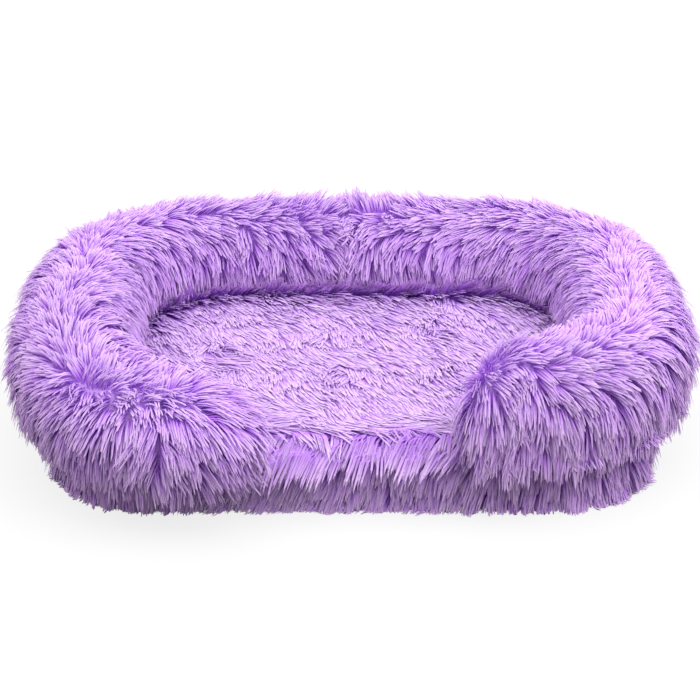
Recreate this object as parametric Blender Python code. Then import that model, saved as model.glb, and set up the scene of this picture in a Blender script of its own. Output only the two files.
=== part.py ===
"""Long-pile plush pet bed: a zipped mattress with a stuffed bolster sewn round its edge.

Metres, +Z up. The origin is the middle of the underside, +X runs to the right as seen
from the open front, and +Y runs to the back. Plush is given the outer shape of its pile.
"""

import math
from collections import namedtuple

import bmesh
import bpy
from mathutils import Vector

# Clearances
seam_gap = 0.0003
edge_clearance = 0.0030
cut_overrun = 0.0005

# Mattress
mattress_width = 0.680
mattress_depth = 0.480
mattress_corner_radius = 0.115
mattress_edge_run = 0.022
mattress_edge_drop = 0.030
mattress_foot_round = 0.010
mattress_waist_draw = 0.003
bottom_panel_thickness = 0.002
bottom_panel_inset = 0.004
foam_thickness = 0.050
wadding_thickness = 0.013
mattress_plush_thickness = 0.022
mattress_crown_height = 0.005
mattress_crown_corner = 0.100
crown_ring_shares = (1.0, 0.8, 0.55, 0.28)

# Bolster: its middle line lies this far in from the mattress edge
bolster_side_inset = 0.036
bolster_end_inset = 0.019
bolster_back_corner_radius = 0.178
bolster_front_corner_radius = 0.142
bolster_wall = 0.022
bolster_floor_wall = 0.004
bolster_seam_draw = 0.003
bolster_seam_length = 0.015
bolster_middle_height = 0.130
tip_middle_height = 0.106
back_reach_in = 0.050
back_reach_out = 0.063
side_reach_in = 0.066
side_reach_out = 0.084
left_tip_reach_in = 0.046
left_tip_reach_out = 0.100
right_tip_reach_in = 0.073
right_tip_reach_out = 0.056
back_crown_height = 0.197
side_crown_height = 0.209
left_tip_crown_height = 0.166
right_tip_crown_height = 0.208
back_hem_height = 0.052
side_hem_height = 0.060
left_tip_hem_height = 0.033
right_tip_hem_height = 0.050
left_tip_length = 0.106
right_tip_length = 0.098
left_tip_end_shift = 0.042
right_tip_end_shift = 0.028
left_entry_run = 0.188
right_entry_run = 0.198
contact_share = 0.66
hem_place_share = 0.35

# Zip in the back boxing
zip_middle_height = 0.035
zip_slot_half_height = 0.0095
zip_corner_clearance = 0.008
zip_slot_taper = 0.006
tape_end_inset = 0.0025
coil_end_inset = 0.025
slider_end_room = 0.042
tape_width = 0.013
tape_thickness = 0.0006
tape_edge_offset = 0.0015
coil_radius = 0.0011
coil_offset = 0.0012
coil_spread = 0.00135
coil_spread_run = 0.003
coil_tail = 0.008
stop_length = 0.0022
stop_width = 0.0022
stop_height = 0.0024
bottom_stop_width = 0.0052

# Zip slider and its pull
slider_half_length = 0.006
slider_rear_half_width = 0.0040
slider_front_half_width = 0.0053
slider_plate_thickness = 0.0010
slider_plate_clearance = 0.0004
slider_tape_clearance = 0.0005
flange_width = 0.0009
post_half_width = 0.0011
post_start = 0.0030
post_end = 0.0055
bridge_half_width = 0.0009
bridge_half_length = 0.0033
bridge_foot_length = 0.0010
bridge_thickness = 0.0009
bridge_headroom = 0.0022
pull_thickness = 0.0010
pull_length = 0.028
pull_half_width = 0.0034
pull_tip_half_width = 0.0028
pull_window_length = 0.0044
pull_window_half_width = 0.0019
pull_bar_half_length = 0.0006
foam_zip_clearance = 0.0006

# How finely each round run is cut
corner_steps = 10
side_steps = 6
back_steps = 10
tip_steps = 6
crown_steps = 14
under_steps = 3

# Sizes worked out from those above
Outline = namedtuple("Outline", "half back_radius front_radius")
mattress_half = Vector((mattress_width / 2, mattress_depth / 2))
mattress_edge = Outline(mattress_half, mattress_corner_radius, mattress_corner_radius)
foam_bottom = bottom_panel_thickness + seam_gap
wadding_bottom = foam_bottom + foam_thickness + seam_gap
top_panel_bottom = wadding_bottom + wadding_thickness + seam_gap
mattress_top = top_panel_bottom + mattress_plush_thickness
edge_foot_height = mattress_top - mattress_edge_drop
bolster_half = Vector((mattress_half.x - bolster_side_inset, mattress_half.y - bolster_end_inset))
bolster_line = Outline(bolster_half, bolster_back_corner_radius, bolster_front_corner_radius)
bolster_seat_height = mattress_top + seam_gap
band_inner_y = mattress_half.y - mattress_plush_thickness
zip_slot_half_length = mattress_half.x - mattress_corner_radius - zip_corner_clearance
tape_half_length = zip_slot_half_length - tape_end_inset
coil_start = zip_slot_half_length - coil_end_inset
slider_rest_x = zip_slot_half_length - slider_end_room
tape_outer_y = band_inner_y - seam_gap
tape_inner_y = tape_outer_y - tape_thickness
coil_middle_y = tape_outer_y + seam_gap + coil_radius
slider_plate_y = coil_middle_y + coil_radius + slider_plate_clearance
slider_top_y = slider_plate_y + slider_plate_thickness
slider_back_y = tape_inner_y - slider_tape_clearance - slider_plate_thickness
pull_hinge_y = slider_top_y + bridge_headroom / 2
foam_back_y = slider_back_y - foam_zip_clearance

lilac_plush = ("lilac plush", (0.50, 0.29, 0.80), 0.90, 0.0)
grip_fabric = ("grip fabric", (0.045, 0.040, 0.055), 0.80, 0.0)
foam_yellow = ("foam", (0.80, 0.74, 0.52), 0.95, 0.0)
fibre_white = ("polyester fibre", (0.86, 0.86, 0.88), 0.95, 0.0)
tape_lilac = ("woven tape", (0.36, 0.22, 0.62), 0.85, 0.0)
coil_lilac = ("nylon coil", (0.40, 0.26, 0.66), 0.45, 0.0)
nickel = ("nickel plate", (0.62, 0.61, 0.60), 0.30, 1.0)


def clear_scene():
    for old in list(bpy.data.objects):
        bpy.data.objects.remove(old, do_unlink=True)


def new_collection(name):
    group = bpy.data.collections.new(name)
    bpy.context.scene.collection.children.link(group)
    return group


def make_material(finish):
    name, colour, roughness, metallic = finish
    material = bpy.data.materials.get(name) or bpy.data.materials.new(name)
    material.use_nodes = True
    shader = material.node_tree.nodes["Principled BSDF"]
    shader.inputs["Base Color"].default_value = (*colour, 1.0)
    shader.inputs["Roughness"].default_value = roughness
    shader.inputs["Metallic"].default_value = metallic
    return material


def add_object(name, mesh, finish, group):
    piece = bpy.data.objects.new(name, mesh)
    piece.data.materials.append(make_material(finish))
    group.objects.link(piece)
    return piece


def mesh_from(shape, name, smooth_angle=None):
    """Turn a bmesh into a mesh with its faces out; an angle shades round parts smooth."""
    bmesh.ops.recalc_face_normals(shape, faces=shape.faces)
    mesh = bpy.data.meshes.new(name)
    shape.to_mesh(mesh)
    shape.free()
    if smooth_angle is not None:
        mesh.shade_smooth()
        mesh.set_sharp_from_angle(angle=smooth_angle)
    return mesh


def join_loops(shape, near, far):
    """Fill the strip between two loops of as many vertices with quads."""
    count = len(near)
    for index in range(count):
        following = (index + 1) % count
        shape.faces.new((near[index], near[following], far[following], far[index]))


def skin_rings(shape, rings):
    """Join neighbouring rings of points and return the rings of vertices."""
    made = [[shape.verts.new(point) for point in ring] for ring in rings]
    for near, far in zip(made, made[1:]):
        join_loops(shape, near, far)
    return made


def solid_loft(name, rings, finish, group):
    """A closed body through a row of rings, with a flat cap on each end."""
    shape = bmesh.new()
    made = skin_rings(shape, rings)
    shape.faces.new(made[0])
    shape.faces.new(made[-1])
    add_object(name, mesh_from(shape, name, math.radians(40)), finish, group)


def plush_tube(name, outer_rings, inner_rings, open_end, group):
    """A plush wall between two lofts, with a raw edge at its start, and at its end too
    where that is open; a closed end is capped outside and inside."""
    shape = bmesh.new()
    outside = skin_rings(shape, outer_rings)
    inside = skin_rings(shape, inner_rings)
    join_loops(shape, outside[0], inside[0])
    if open_end:
        join_loops(shape, outside[-1], inside[-1])
    else:
        shape.faces.new(outside[-1])
        shape.faces.new(inside[-1])
    add_object(name, mesh_from(shape, name, math.radians(40)), lilac_plush, group)


def rounded_path(line, distance, side):
    """Point and outward normal at a distance from the middle of the back, going round
    an outline with rounded corners; side is 1 for the right half and -1 for the left."""
    half, back_radius, front_radius = line
    marks = path_marks(line)
    if distance <= marks[1]:
        place, normal = Vector((distance, half.y)), Vector((0, 1))
    elif distance <= marks[2]:
        turn = (distance - marks[1]) / back_radius
        normal = Vector((math.sin(turn), math.cos(turn)))
        place = Vector((half.x - back_radius, half.y - back_radius)) + normal * back_radius
    elif distance <= marks[3]:
        place = Vector((half.x, half.y - back_radius - (distance - marks[2])))
        normal = Vector((1, 0))
    elif distance <= marks[4]:
        turn = (distance - marks[3]) / front_radius
        normal = Vector((math.cos(turn), -math.sin(turn)))
        place = Vector((half.x - front_radius, front_radius - half.y)) + normal * front_radius
    else:
        place, normal = Vector((marks[5] - distance, -half.y)), Vector((0, -1))
    return Vector((side * place.x, place.y)), Vector((side * normal.x, normal.y))


def path_marks(line):
    """Distances from the middle of the back at which each run and corner ends."""
    half, back_radius, front_radius = line
    marks = [0, half.x - back_radius]
    marks.append(marks[-1] + back_radius * math.pi / 2)
    marks.append(marks[-1] + 2 * half.y - back_radius - front_radius)
    marks.append(marks[-1] + front_radius * math.pi / 2)
    marks.append(marks[-1] + half.x - front_radius)
    return marks


def spread(start, end, steps):
    return [start + (end - start) * index / steps for index in range(steps + 1)]


def bolster_stations(start, end):
    """Distances along the bolster's middle line, closer together round the corners and
    with one a seam's length in from each end."""
    marks = path_marks(bolster_line)
    counts = (back_steps // 2, corner_steps, side_steps, corner_steps, back_steps // 2)
    places = []
    for low, high, steps in zip(marks, marks[1:], counts):
        places += [place for place in spread(low, high, steps) if start < place < end]
    first = start + bolster_seam_length
    last = end - bolster_seam_length
    between = [place for place in sorted(places)
               if first + bolster_seam_length / 2 < place < last - bolster_seam_length / 2]
    return [start, first] + sorted(set(between)) + [last, end]


def depth_inside_mattress(place):
    """Distance in from the mattress's outline, negative outside it."""
    core = mattress_half - Vector((mattress_corner_radius, mattress_corner_radius))
    past = Vector((abs(place.x) - core.x, abs(place.y) - core.y))
    outside = Vector((max(past.x, 0), max(past.y, 0))).length
    return mattress_corner_radius - outside - min(max(past.x, past.y), 0)


def reach_to_edge(place, normal, inset):
    """How far out along a normal the mattress's outline, moved in by inset, is crossed."""
    low = -mattress_corner_radius
    high = mattress_corner_radius * 2
    for _ in range(40):
        middle = (low + high) / 2
        if depth_inside_mattress(place + normal * middle) > inset:
            low = middle
        else:
            high = middle
    return (low + high) / 2


def smooth_step(value, start, end):
    share = min(max((value - start) / (end - start), 0), 1)
    return share * share * (3 - 2 * share)


def bolster_size(distance, side, seams):
    """Reaches and heights of the bolster's outer section at a place on its middle line."""
    marks = path_marks(bolster_line)
    to_side = smooth_step(distance, marks[1], marks[2])
    to_tip = smooth_step(distance, marks[3], marks[4])
    if side > 0:
        tip = (right_tip_reach_in, right_tip_reach_out, right_tip_crown_height,
               right_tip_hem_height, tip_middle_height)
    else:
        tip = (left_tip_reach_in, left_tip_reach_out, left_tip_crown_height,
               left_tip_hem_height, tip_middle_height)
    back = (back_reach_in, back_reach_out, back_crown_height, back_hem_height,
            bolster_middle_height)
    flank = (side_reach_in, side_reach_out, side_crown_height, side_hem_height,
             bolster_middle_height)
    size = []
    for back_value, side_value, tip_value in zip(back, flank, tip):
        value = back_value + (side_value - back_value) * to_side
        size.append(value + (tip_value - value) * to_tip)
    nearest = min(abs(distance - seam) for seam in seams)
    draw = bolster_seam_draw * (1 - smooth_step(nearest, 0, bolster_seam_length))
    reach_in, reach_out, crown, hem, middle = size
    return reach_in - draw, reach_out - draw, crown - draw, hem + draw, middle


def upper_arc(reach_in, reach_out, crown, middle):
    """The section from its outermost point over the crown to its innermost point."""
    arc = []
    for index in range(crown_steps + 1):
        turn = math.pi * index / crown_steps
        reach = reach_out if index < crown_steps / 2 else reach_in
        arc.append((reach * math.cos(turn), middle + (crown - middle) * math.sin(turn)))
    return arc


def inner_curl(reach_in, middle, floor):
    """The section from its innermost point down to where it meets its seat."""
    contact = reach_in * contact_share
    curl = []
    for index in range(1, under_steps + 1):
        turn = math.pi / 2 * index / under_steps
        across = contact + (reach_in - contact) * math.cos(turn)
        curl.append((-across, middle - (middle - floor) * math.sin(turn)))
    return curl


def outer_section(place, normal, size):
    """Outside of the cover: it lies on the mattress and hangs over its edge."""
    reach_in, reach_out, crown, hem, middle = size
    shoulder = reach_to_edge(place, normal, mattress_edge_run) + edge_clearance
    edge = reach_to_edge(place, normal, 0) + edge_clearance
    points = upper_arc(reach_in, reach_out, crown, middle)
    points += inner_curl(reach_in, middle, bolster_seat_height)
    points.append((shoulder, bolster_seat_height))
    points.append((edge, edge_foot_height))
    hem_reach = edge + (reach_out - edge) * hem_place_share
    for index in range(under_steps):
        turn = math.pi / 2 * index / under_steps
        across = hem_reach + (reach_out - hem_reach) * math.sin(turn)
        points.append((across, middle - (middle - hem) * math.cos(turn)))
    return points


def inner_section(size, gap):
    """Inside of the cover, or the stuffing a gap smaller: a round top on a flat seat."""
    reach_in, reach_out, crown, hem, middle = size
    floor = bolster_seat_height + bolster_floor_wall + gap
    inward = reach_in - bolster_wall - gap
    outward = reach_out - bolster_wall - gap
    points = upper_arc(inward, outward, crown - bolster_wall - gap, middle)
    curl = inner_curl(inward, middle, floor)
    points += curl
    mirrored = inner_curl(outward, middle, floor)
    outer_contact = -mirrored[-1][0]
    inner_contact = curl[-1][0]
    points.append((inner_contact + (outer_contact - inner_contact) / 3, floor))
    points.append((inner_contact + (outer_contact - inner_contact) * 2 / 3, floor))
    for across, height in reversed(mirrored):
        points.append((-across, height))
    return points


def in_world(place, normal, points, lift=0):
    ring = []
    for across, height in points:
        spot = place + normal * across
        ring.append(Vector((spot.x, spot.y, height + lift)))
    return ring


def bolster_ring(distance, side, seams, gap=None):
    """One ring of the bolster: the cover's outside, or its inside where a gap is given."""
    place, normal = rounded_path(bolster_line, distance, side)
    size = bolster_size(distance, side, seams)
    if gap is None:
        return in_world(place, normal, outer_section(place, normal, size))
    return in_world(place, normal, inner_section(size, gap))


def dome_rings(ring, distance, side, length):
    """Rings that close the end of an arm, each smaller and further along the arm."""
    place, normal = rounded_path(bolster_line, distance, side)
    forward = Vector((normal.y, -normal.x, 0)) * side
    middle = place + normal * (left_tip_end_shift if side < 0 else right_tip_end_shift)
    centre = Vector((middle.x, middle.y, tip_middle_height))
    rings = []
    for index in range(1, tip_steps + 1):
        turn = math.pi / 2 * index / (tip_steps + 1 / 2)
        shrink = math.cos(turn)
        shift = forward * (length * math.sin(turn))
        rings.append([centre + (point - centre) * shrink + shift for point in ring])
    return rings


def signed_ring(distance, seams, gap=None):
    """A ring of the back run, where a negative distance lies on the left half."""
    side = 1 if distance >= 0 else -1
    return bolster_ring(abs(distance), side, seams, gap)


def back_pieces(reach, seams, group):
    """Cover and stuffing of the back run, as far to each side as its reach."""
    half_run = bolster_stations(0, reach)
    places = [-place for place in reversed(half_run[1:])] + half_run
    outside = [signed_ring(place, seams) for place in places]
    inside = [signed_ring(place, seams, 0) for place in places]
    plush_tube("bolster_back_cover", outside, inside, True, group)
    rings = [signed_ring(place, seams, seam_gap) for place in places]
    solid_loft("bolster_back_fill", rings, fibre_white, group)


def arm_pieces(label, side, seams, tip_length, group):
    """Cover, end cap and stuffing of one arm."""
    start = seams[0] + seam_gap / 2
    end = seams[1] - seam_gap / 2
    places = bolster_stations(start, end)
    outside = [bolster_ring(place, side, seams) for place in places]
    inside = [bolster_ring(place, side, seams, 0) for place in places]
    plush_tube(f"bolster_{label}_cover", outside, inside, True, group)

    cap_start = seams[1] + seam_gap / 2
    outside = [bolster_ring(cap_start, side, seams)]
    inside = [bolster_ring(cap_start, side, seams, 0)]
    outside += dome_rings(outside[0], cap_start, side, tip_length)
    inside += dome_rings(inside[0], cap_start, side, tip_length - bolster_wall)
    plush_tube(f"bolster_{label}_tip", outside, inside, False, group)

    places = bolster_stations(start, cap_start)
    rings = [bolster_ring(place, side, seams, seam_gap) for place in places]
    rings += dome_rings(rings[-1], cap_start, side, tip_length - bolster_wall - seam_gap)
    solid_loft(f"bolster_{label}_fill", rings, fibre_white, group)


def bolster(group):
    marks = path_marks(bolster_line)
    mitre = (marks[1] + marks[2]) / 2
    left_seams = (mitre, marks[-1] - left_entry_run)
    right_seams = (mitre, marks[-1] - right_entry_run)
    back_pieces(mitre - seam_gap / 2, left_seams, group)
    arm_pieces("left", -1, left_seams, left_tip_length, group)
    arm_pieces("right", 1, right_seams, right_tip_length, group)


def slab_ring(inset, height, back_shift=0):
    """A level outline of the mattress moved in by inset, with its back edge moved by a shift."""
    radius = mattress_corner_radius - inset
    half = Vector((mattress_half.x - inset, mattress_half.y - inset - back_shift / 2))
    return plan_ring(half, radius, height, -back_shift / 2)


def plan_ring(half, radius, height, shift_y=0):
    right = []
    line = Outline(half, radius, radius)
    marks = path_marks(line)
    for low, high in ((marks[1], marks[2]), (marks[3], marks[4])):
        for place in spread(low, high, corner_steps):
            spot, _ = rounded_path(line, place, 1)
            right.append(Vector((spot.x, spot.y + shift_y, height)))
    left = [Vector((-point.x, point.y, point.z)) for point in reversed(right)]
    return right + left


def edge_inset(height):
    """How far in the mattress's sloping top edge lies at a height."""
    return mattress_edge_run * max(height - edge_foot_height, 0) / mattress_edge_drop


def top_panel(group):
    crown_half = Vector((bolster_half.x - side_reach_in, bolster_half.y - back_reach_in))
    rings = [slab_ring(edge_inset(top_panel_bottom), top_panel_bottom)]
    rings.append(slab_ring(mattress_edge_run, mattress_top))
    for share in crown_ring_shares:
        rise = mattress_crown_height * (1 - share * share)
        radius = mattress_crown_corner * share
        rings.append(plan_ring(crown_half * share, radius, mattress_top + rise))
    solid_loft("mattress_top_panel", rings, lilac_plush, group)


def foam_and_wadding(group):
    inset = mattress_plush_thickness + seam_gap
    back_shift = band_inner_y - seam_gap - foam_back_y
    foam_top = foam_bottom + foam_thickness
    foam = [slab_ring(inset, foam_bottom, back_shift), slab_ring(inset, foam_top, back_shift)]
    solid_loft("mattress_foam_core", foam, foam_yellow, group)
    wadding_top = wadding_bottom + wadding_thickness
    wadding = [slab_ring(inset, wadding_bottom), slab_ring(inset, wadding_top)]
    solid_loft("mattress_wadding", wadding, fibre_white, group)


def bottom_panel(group):
    rings = [slab_ring(bottom_panel_inset, 0)]
    rings.append(slab_ring(bottom_panel_inset, bottom_panel_thickness))
    solid_loft("mattress_bottom_panel", rings, grip_fabric, group)


def band_profile(low, high):
    """Inset and height of a strip of boxing: a rounded foot, a bowed face, a sloped top."""
    band_top = top_panel_bottom - seam_gap
    inner = mattress_plush_thickness
    foot = low + mattress_foot_round
    if low > foam_bottom:
        points = [(inner, low), (mattress_waist_draw, low), (0, low + mattress_waist_draw)]
    else:
        points = [(inner, low), (mattress_waist_draw, low), (0, foot)]
    if high < band_top:
        points += [(0, high - mattress_waist_draw), (mattress_waist_draw, high)]
    else:
        points += [(0, edge_foot_height), (edge_inset(high), high)]
    points.append((inner, high))
    return points


def band_ring(distance, side, low, high):
    place, normal = rounded_path(mattress_edge, distance, side)
    return in_world(place, normal, [(-inset, height) for inset, height in band_profile(low, high)])


def side_band(name, side, start, end, group):
    marks = path_marks(mattress_edge)
    places = [start] + [mark for mark in marks if start < mark < end] + [end]
    stations = []
    for low, high in zip(places, places[1:]):
        straight = low >= marks[2] and high <= marks[3]
        stations += spread(low, high, 1 if straight else corner_steps // 2)[:-1]
    stations.append(end)
    band_top = top_panel_bottom - seam_gap
    rings = [band_ring(place, side, foam_bottom, band_top) for place in stations]
    solid_loft(name, rings, lilac_plush, group)


def front_band(start, group):
    marks = path_marks(mattress_edge)
    band_top = top_panel_bottom - seam_gap
    stations = spread(start, marks[4], corner_steps // 2)
    right = [band_ring(place, 1, foam_bottom, band_top) for place in stations]
    left = [band_ring(place, -1, foam_bottom, band_top) for place in reversed(stations)]
    solid_loft("mattress_front_band", right + left, lilac_plush, group)


def back_band(name, upper, end, group):
    """One of the two strips beside the zip; the strips meet past the ends of the zip."""
    marks = path_marks(mattress_edge)
    closed_from = zip_slot_half_length + zip_slot_taper
    corner = [place for place in spread(marks[1], end, corner_steps // 2) if place > closed_from]
    stations = [zip_slot_half_length, closed_from] + corner
    band_top = top_panel_bottom - seam_gap
    right = []
    left = []
    for place in stations:
        half_slot = zip_slot_half_height if place <= zip_slot_half_length else seam_gap / 2
        if upper:
            limits = (zip_middle_height + half_slot, band_top)
        else:
            limits = (foam_bottom, zip_middle_height - half_slot)
        right.append(band_ring(place, 1, *limits))
        left.append(band_ring(place, -1, *limits))
    solid_loft(name, list(reversed(left)) + right, lilac_plush, group)


def mattress(group):
    marks = path_marks(mattress_edge)
    back_seam = (marks[1] + marks[2]) / 2
    front_seam = (marks[3] + marks[4]) / 2
    half_gap = seam_gap / 2
    bottom_panel(group)
    foam_and_wadding(group)
    top_panel(group)
    front_band(front_seam + half_gap, group)
    side_band("mattress_left_band", -1, back_seam + half_gap, front_seam - half_gap, group)
    side_band("mattress_right_band", 1, back_seam + half_gap, front_seam - half_gap, group)
    back_band("mattress_back_band_upper", True, back_seam - half_gap, group)
    back_band("mattress_back_band_lower", False, back_seam - half_gap, group)


def box_mesh(name, low, high):
    """A box between two corners, from a cube primitive."""
    shape = bmesh.new()
    bmesh.ops.create_cube(shape, size=1)
    middle = (Vector(low) + Vector(high)) / 2
    size = Vector(high) - Vector(low)
    bmesh.ops.scale(shape, vec=size, verts=shape.verts)
    bmesh.ops.translate(shape, vec=middle, verts=shape.verts)
    return mesh_from(shape, name)


def tapered_mesh(name, low, high, low_end_z, high_end_z):
    """A box between two corners whose z limits differ at its low and high x ends."""
    shape = bmesh.new()
    bmesh.ops.create_cube(shape, size=1)
    for vertex in shape.verts:
        limits = high_end_z if vertex.co.x > 0 else low_end_z
        vertex.co.z = limits[1] if vertex.co.z > 0 else limits[0]
        vertex.co.x = high[0] if vertex.co.x > 0 else low[0]
        vertex.co.y = high[1] if vertex.co.y > 0 else low[1]
    return mesh_from(shape, name)


def zip_tapes(group):
    for label, sign in (("lower", -1), ("upper", 1)):
        near = zip_middle_height + sign * tape_edge_offset
        far = near + sign * tape_width
        low = (-tape_half_length, tape_inner_y, min(near, far))
        high = (tape_half_length, tape_outer_y, max(near, far))
        name = f"zip_tape_{label}"
        add_object(name, box_mesh(name, low, high), tape_lilac, group)


def zip_coils(group):
    """Two rows of coil, side by side, which part round the post inside the slider."""
    for label, sign in (("lower", -1), ("upper", 1)):
        name = f"zip_coil_{label}"
        closed = zip_middle_height + sign * coil_offset
        parted = closed + sign * coil_spread
        bend = slider_rest_x - coil_spread_run / 2
        route = [(-coil_start, closed), (bend, closed), (bend + coil_spread_run, parted)]
        route.append((slider_rest_x + coil_tail, parted))
        curve = bpy.data.curves.new(name, "CURVE")
        curve.dimensions = "3D"
        curve.bevel_depth = coil_radius
        curve.bevel_resolution = 2
        curve.use_fill_caps = True
        spline = curve.splines.new("POLY")
        spline.points.add(len(route) - 1)
        for point, (x, z) in zip(spline.points, route):
            point.co = (x, coil_middle_y, z, 1)
        add_object(name, curve, coil_lilac, group)


def zip_stops(group):
    """A clamped stop at the end of each row, and one across both rows at the far end."""
    base = tape_outer_y + seam_gap
    start = slider_rest_x + coil_tail + seam_gap
    for label, sign in (("lower", -1), ("upper", 1)):
        middle = zip_middle_height + sign * (coil_offset + coil_spread)
        low = (start, base, middle - stop_width / 2)
        high = (start + stop_length, base + stop_height, middle + stop_width / 2)
        name = f"zip_top_stop_{label}"
        add_object(name, box_mesh(name, low, high), nickel, group)
    end = -coil_start - seam_gap
    low = (end - stop_length, base, zip_middle_height - bottom_stop_width / 2)
    high = (end, base + stop_height, zip_middle_height + bottom_stop_width / 2)
    add_object("zip_bottom_stop", box_mesh("zip_bottom_stop", low, high), nickel, group)


def fuse(body, tool):
    joint = body.modifiers.new(f"with_{tool.name}", "BOOLEAN")
    joint.operation = "UNION"
    joint.object = tool
    tool.hide_render = True
    tool.display_type = "WIRE"


def zip_slider(group, tools):
    """Two plates joined by a post in front, with flanges and a bridge for the pull.
    Its origin is the middle of the coil, so that it slides along the zip."""
    back_low = slider_back_y - coil_middle_y
    back_high = back_low + slider_plate_thickness
    plate_low = slider_plate_y - coil_middle_y
    plate_high = slider_top_y - coil_middle_y
    flange_low = tape_outer_y + slider_plate_clearance - coil_middle_y
    rear = (-slider_rear_half_width, slider_rear_half_width)
    front = (-slider_front_half_width, slider_front_half_width)
    ends = (-slider_half_length, slider_half_length)
    body_mesh = tapered_mesh("zip_slider", (ends[0], plate_low), (ends[1], plate_high), rear, front)
    body = add_object("zip_slider", body_mesh, nickel, group)
    tool_meshes = [tapered_mesh("back_plate", (ends[0], back_low), (ends[1], back_high), rear, front)]
    for label, sign in (("lower", -1), ("upper", 1)):
        rear_limits = sorted((sign * slider_rear_half_width,
                              sign * (slider_rear_half_width - flange_width)))
        front_limits = sorted((sign * slider_front_half_width,
                               sign * (slider_front_half_width - flange_width)))
        tool_meshes.append(tapered_mesh(f"flange_{label}", (ends[0], flange_low),
                                        (ends[1], plate_low + cut_overrun), rear_limits, front_limits))
    tool_meshes.append(box_mesh("post", (post_start, back_high - cut_overrun, -post_half_width),
                                (post_end, plate_low + cut_overrun, post_half_width)))
    bridge_low = plate_high + bridge_headroom
    bridge_high = bridge_low + bridge_thickness
    tool_meshes.append(box_mesh("bridge", (-bridge_half_length, bridge_low, -bridge_half_width),
                                (bridge_half_length, bridge_high, bridge_half_width)))
    for label, sign in (("rear", -1), ("front", 1)):
        limits = sorted((sign * bridge_half_length,
                         sign * (bridge_half_length - bridge_foot_length)))
        low = (limits[0], plate_high - cut_overrun, -bridge_half_width)
        high = (limits[1], bridge_low + cut_overrun, bridge_half_width)
        tool_meshes.append(box_mesh(f"bridge_foot_{label}", low, high))
    place = Vector((slider_rest_x, coil_middle_y, zip_middle_height))
    body.location = place
    for mesh in tool_meshes:
        tool = add_object(f"slider_{mesh.name}", mesh, nickel, tools)
        tool.location = place
        fuse(body, tool)
    return body


def zip_pull(slider, group):
    """A flat tab with a window, whose first bar lies under the bridge. Its origin is the
    middle of that bar, which is the hinge."""
    curve = bpy.data.curves.new("zip_pull", "CURVE")
    curve.dimensions = "2D"
    curve.fill_mode = "BOTH"
    curve.extrude = pull_thickness / 2
    window_end = -pull_window_length
    window_start = -pull_bar_half_length
    outline = [(pull_bar_half_length, -pull_half_width), (pull_bar_half_length, pull_half_width)]
    outline.append((window_end, pull_half_width))
    middle = pull_tip_half_width - pull_length
    for index in range(corner_steps + 1):
        turn = math.pi * index / corner_steps
        outline.append((middle - pull_tip_half_width * math.sin(turn),
                        pull_tip_half_width * math.cos(turn)))
    outline.append((window_end, -pull_half_width))
    window = [(window_start, -pull_window_half_width), (window_end, -pull_window_half_width),
              (window_end, pull_window_half_width), (window_start, pull_window_half_width)]
    for points in (outline, window):
        spline = curve.splines.new("POLY")
        spline.points.add(len(points) - 1)
        for point, (x, y) in zip(spline.points, points):
            point.co = (x, y, 0, 1)
        spline.use_cyclic_u = True
    pull = add_object("zip_pull", curve, nickel, group)
    pull.parent = slider
    pull.location = (0, pull_hinge_y - coil_middle_y, 0)
    pull.rotation_euler = (math.pi / 2, 0, 0)
    return pull


def main():
    clear_scene()
    group = new_collection("plush_pet_bed")
    tools = new_collection("cutters")
    mattress(group)
    bolster(group)
    zip_tapes(group)
    zip_coils(group)
    zip_stops(group)
    slider = zip_slider(group, tools)
    zip_pull(slider, group)


main()
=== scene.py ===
"""Long-pile plush pet bed, dressed for the picture: pile, knitted backing, filling, zip and studio.

Metres, +Z up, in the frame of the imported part: the origin is the middle of the underside,
+X runs to the right as seen from the open front, and +Y runs to the back.
"""

import math
from collections import namedtuple
from functools import partial

import bmesh
import bpy
import numpy as np
from bpy.props import FloatProperty, FloatVectorProperty, PointerProperty
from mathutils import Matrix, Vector


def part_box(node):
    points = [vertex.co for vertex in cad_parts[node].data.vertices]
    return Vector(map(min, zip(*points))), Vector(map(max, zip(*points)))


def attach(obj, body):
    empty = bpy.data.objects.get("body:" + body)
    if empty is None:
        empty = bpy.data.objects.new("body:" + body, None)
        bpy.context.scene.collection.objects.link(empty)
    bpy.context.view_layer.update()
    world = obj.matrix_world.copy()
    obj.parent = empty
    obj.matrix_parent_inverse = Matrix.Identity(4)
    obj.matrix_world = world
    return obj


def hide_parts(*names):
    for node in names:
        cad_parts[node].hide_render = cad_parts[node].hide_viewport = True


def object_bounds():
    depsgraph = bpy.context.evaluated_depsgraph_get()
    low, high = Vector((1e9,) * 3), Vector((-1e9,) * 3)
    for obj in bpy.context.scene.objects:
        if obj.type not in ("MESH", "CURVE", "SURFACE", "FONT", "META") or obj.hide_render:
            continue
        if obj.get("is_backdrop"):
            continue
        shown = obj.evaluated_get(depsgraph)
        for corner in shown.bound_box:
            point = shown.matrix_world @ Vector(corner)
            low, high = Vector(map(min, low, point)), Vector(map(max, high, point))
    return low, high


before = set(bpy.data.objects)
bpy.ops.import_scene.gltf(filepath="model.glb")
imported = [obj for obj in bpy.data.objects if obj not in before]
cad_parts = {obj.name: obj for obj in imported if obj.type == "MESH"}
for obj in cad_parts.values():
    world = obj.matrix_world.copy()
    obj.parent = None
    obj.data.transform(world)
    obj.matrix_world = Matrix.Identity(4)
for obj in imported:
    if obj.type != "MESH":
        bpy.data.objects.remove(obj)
cad_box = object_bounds()

bl_info = {
    "name": "Plush pet bed",
    "version": (1, 0, 0),
    "blender": (4, 5, 0),
    "location": "3D View > Sidebar > Pet bed",
    "description": "Builds the pile, backing, filling, zip and studio of a plush pet bed",
    "category": "Object",
}

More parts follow.
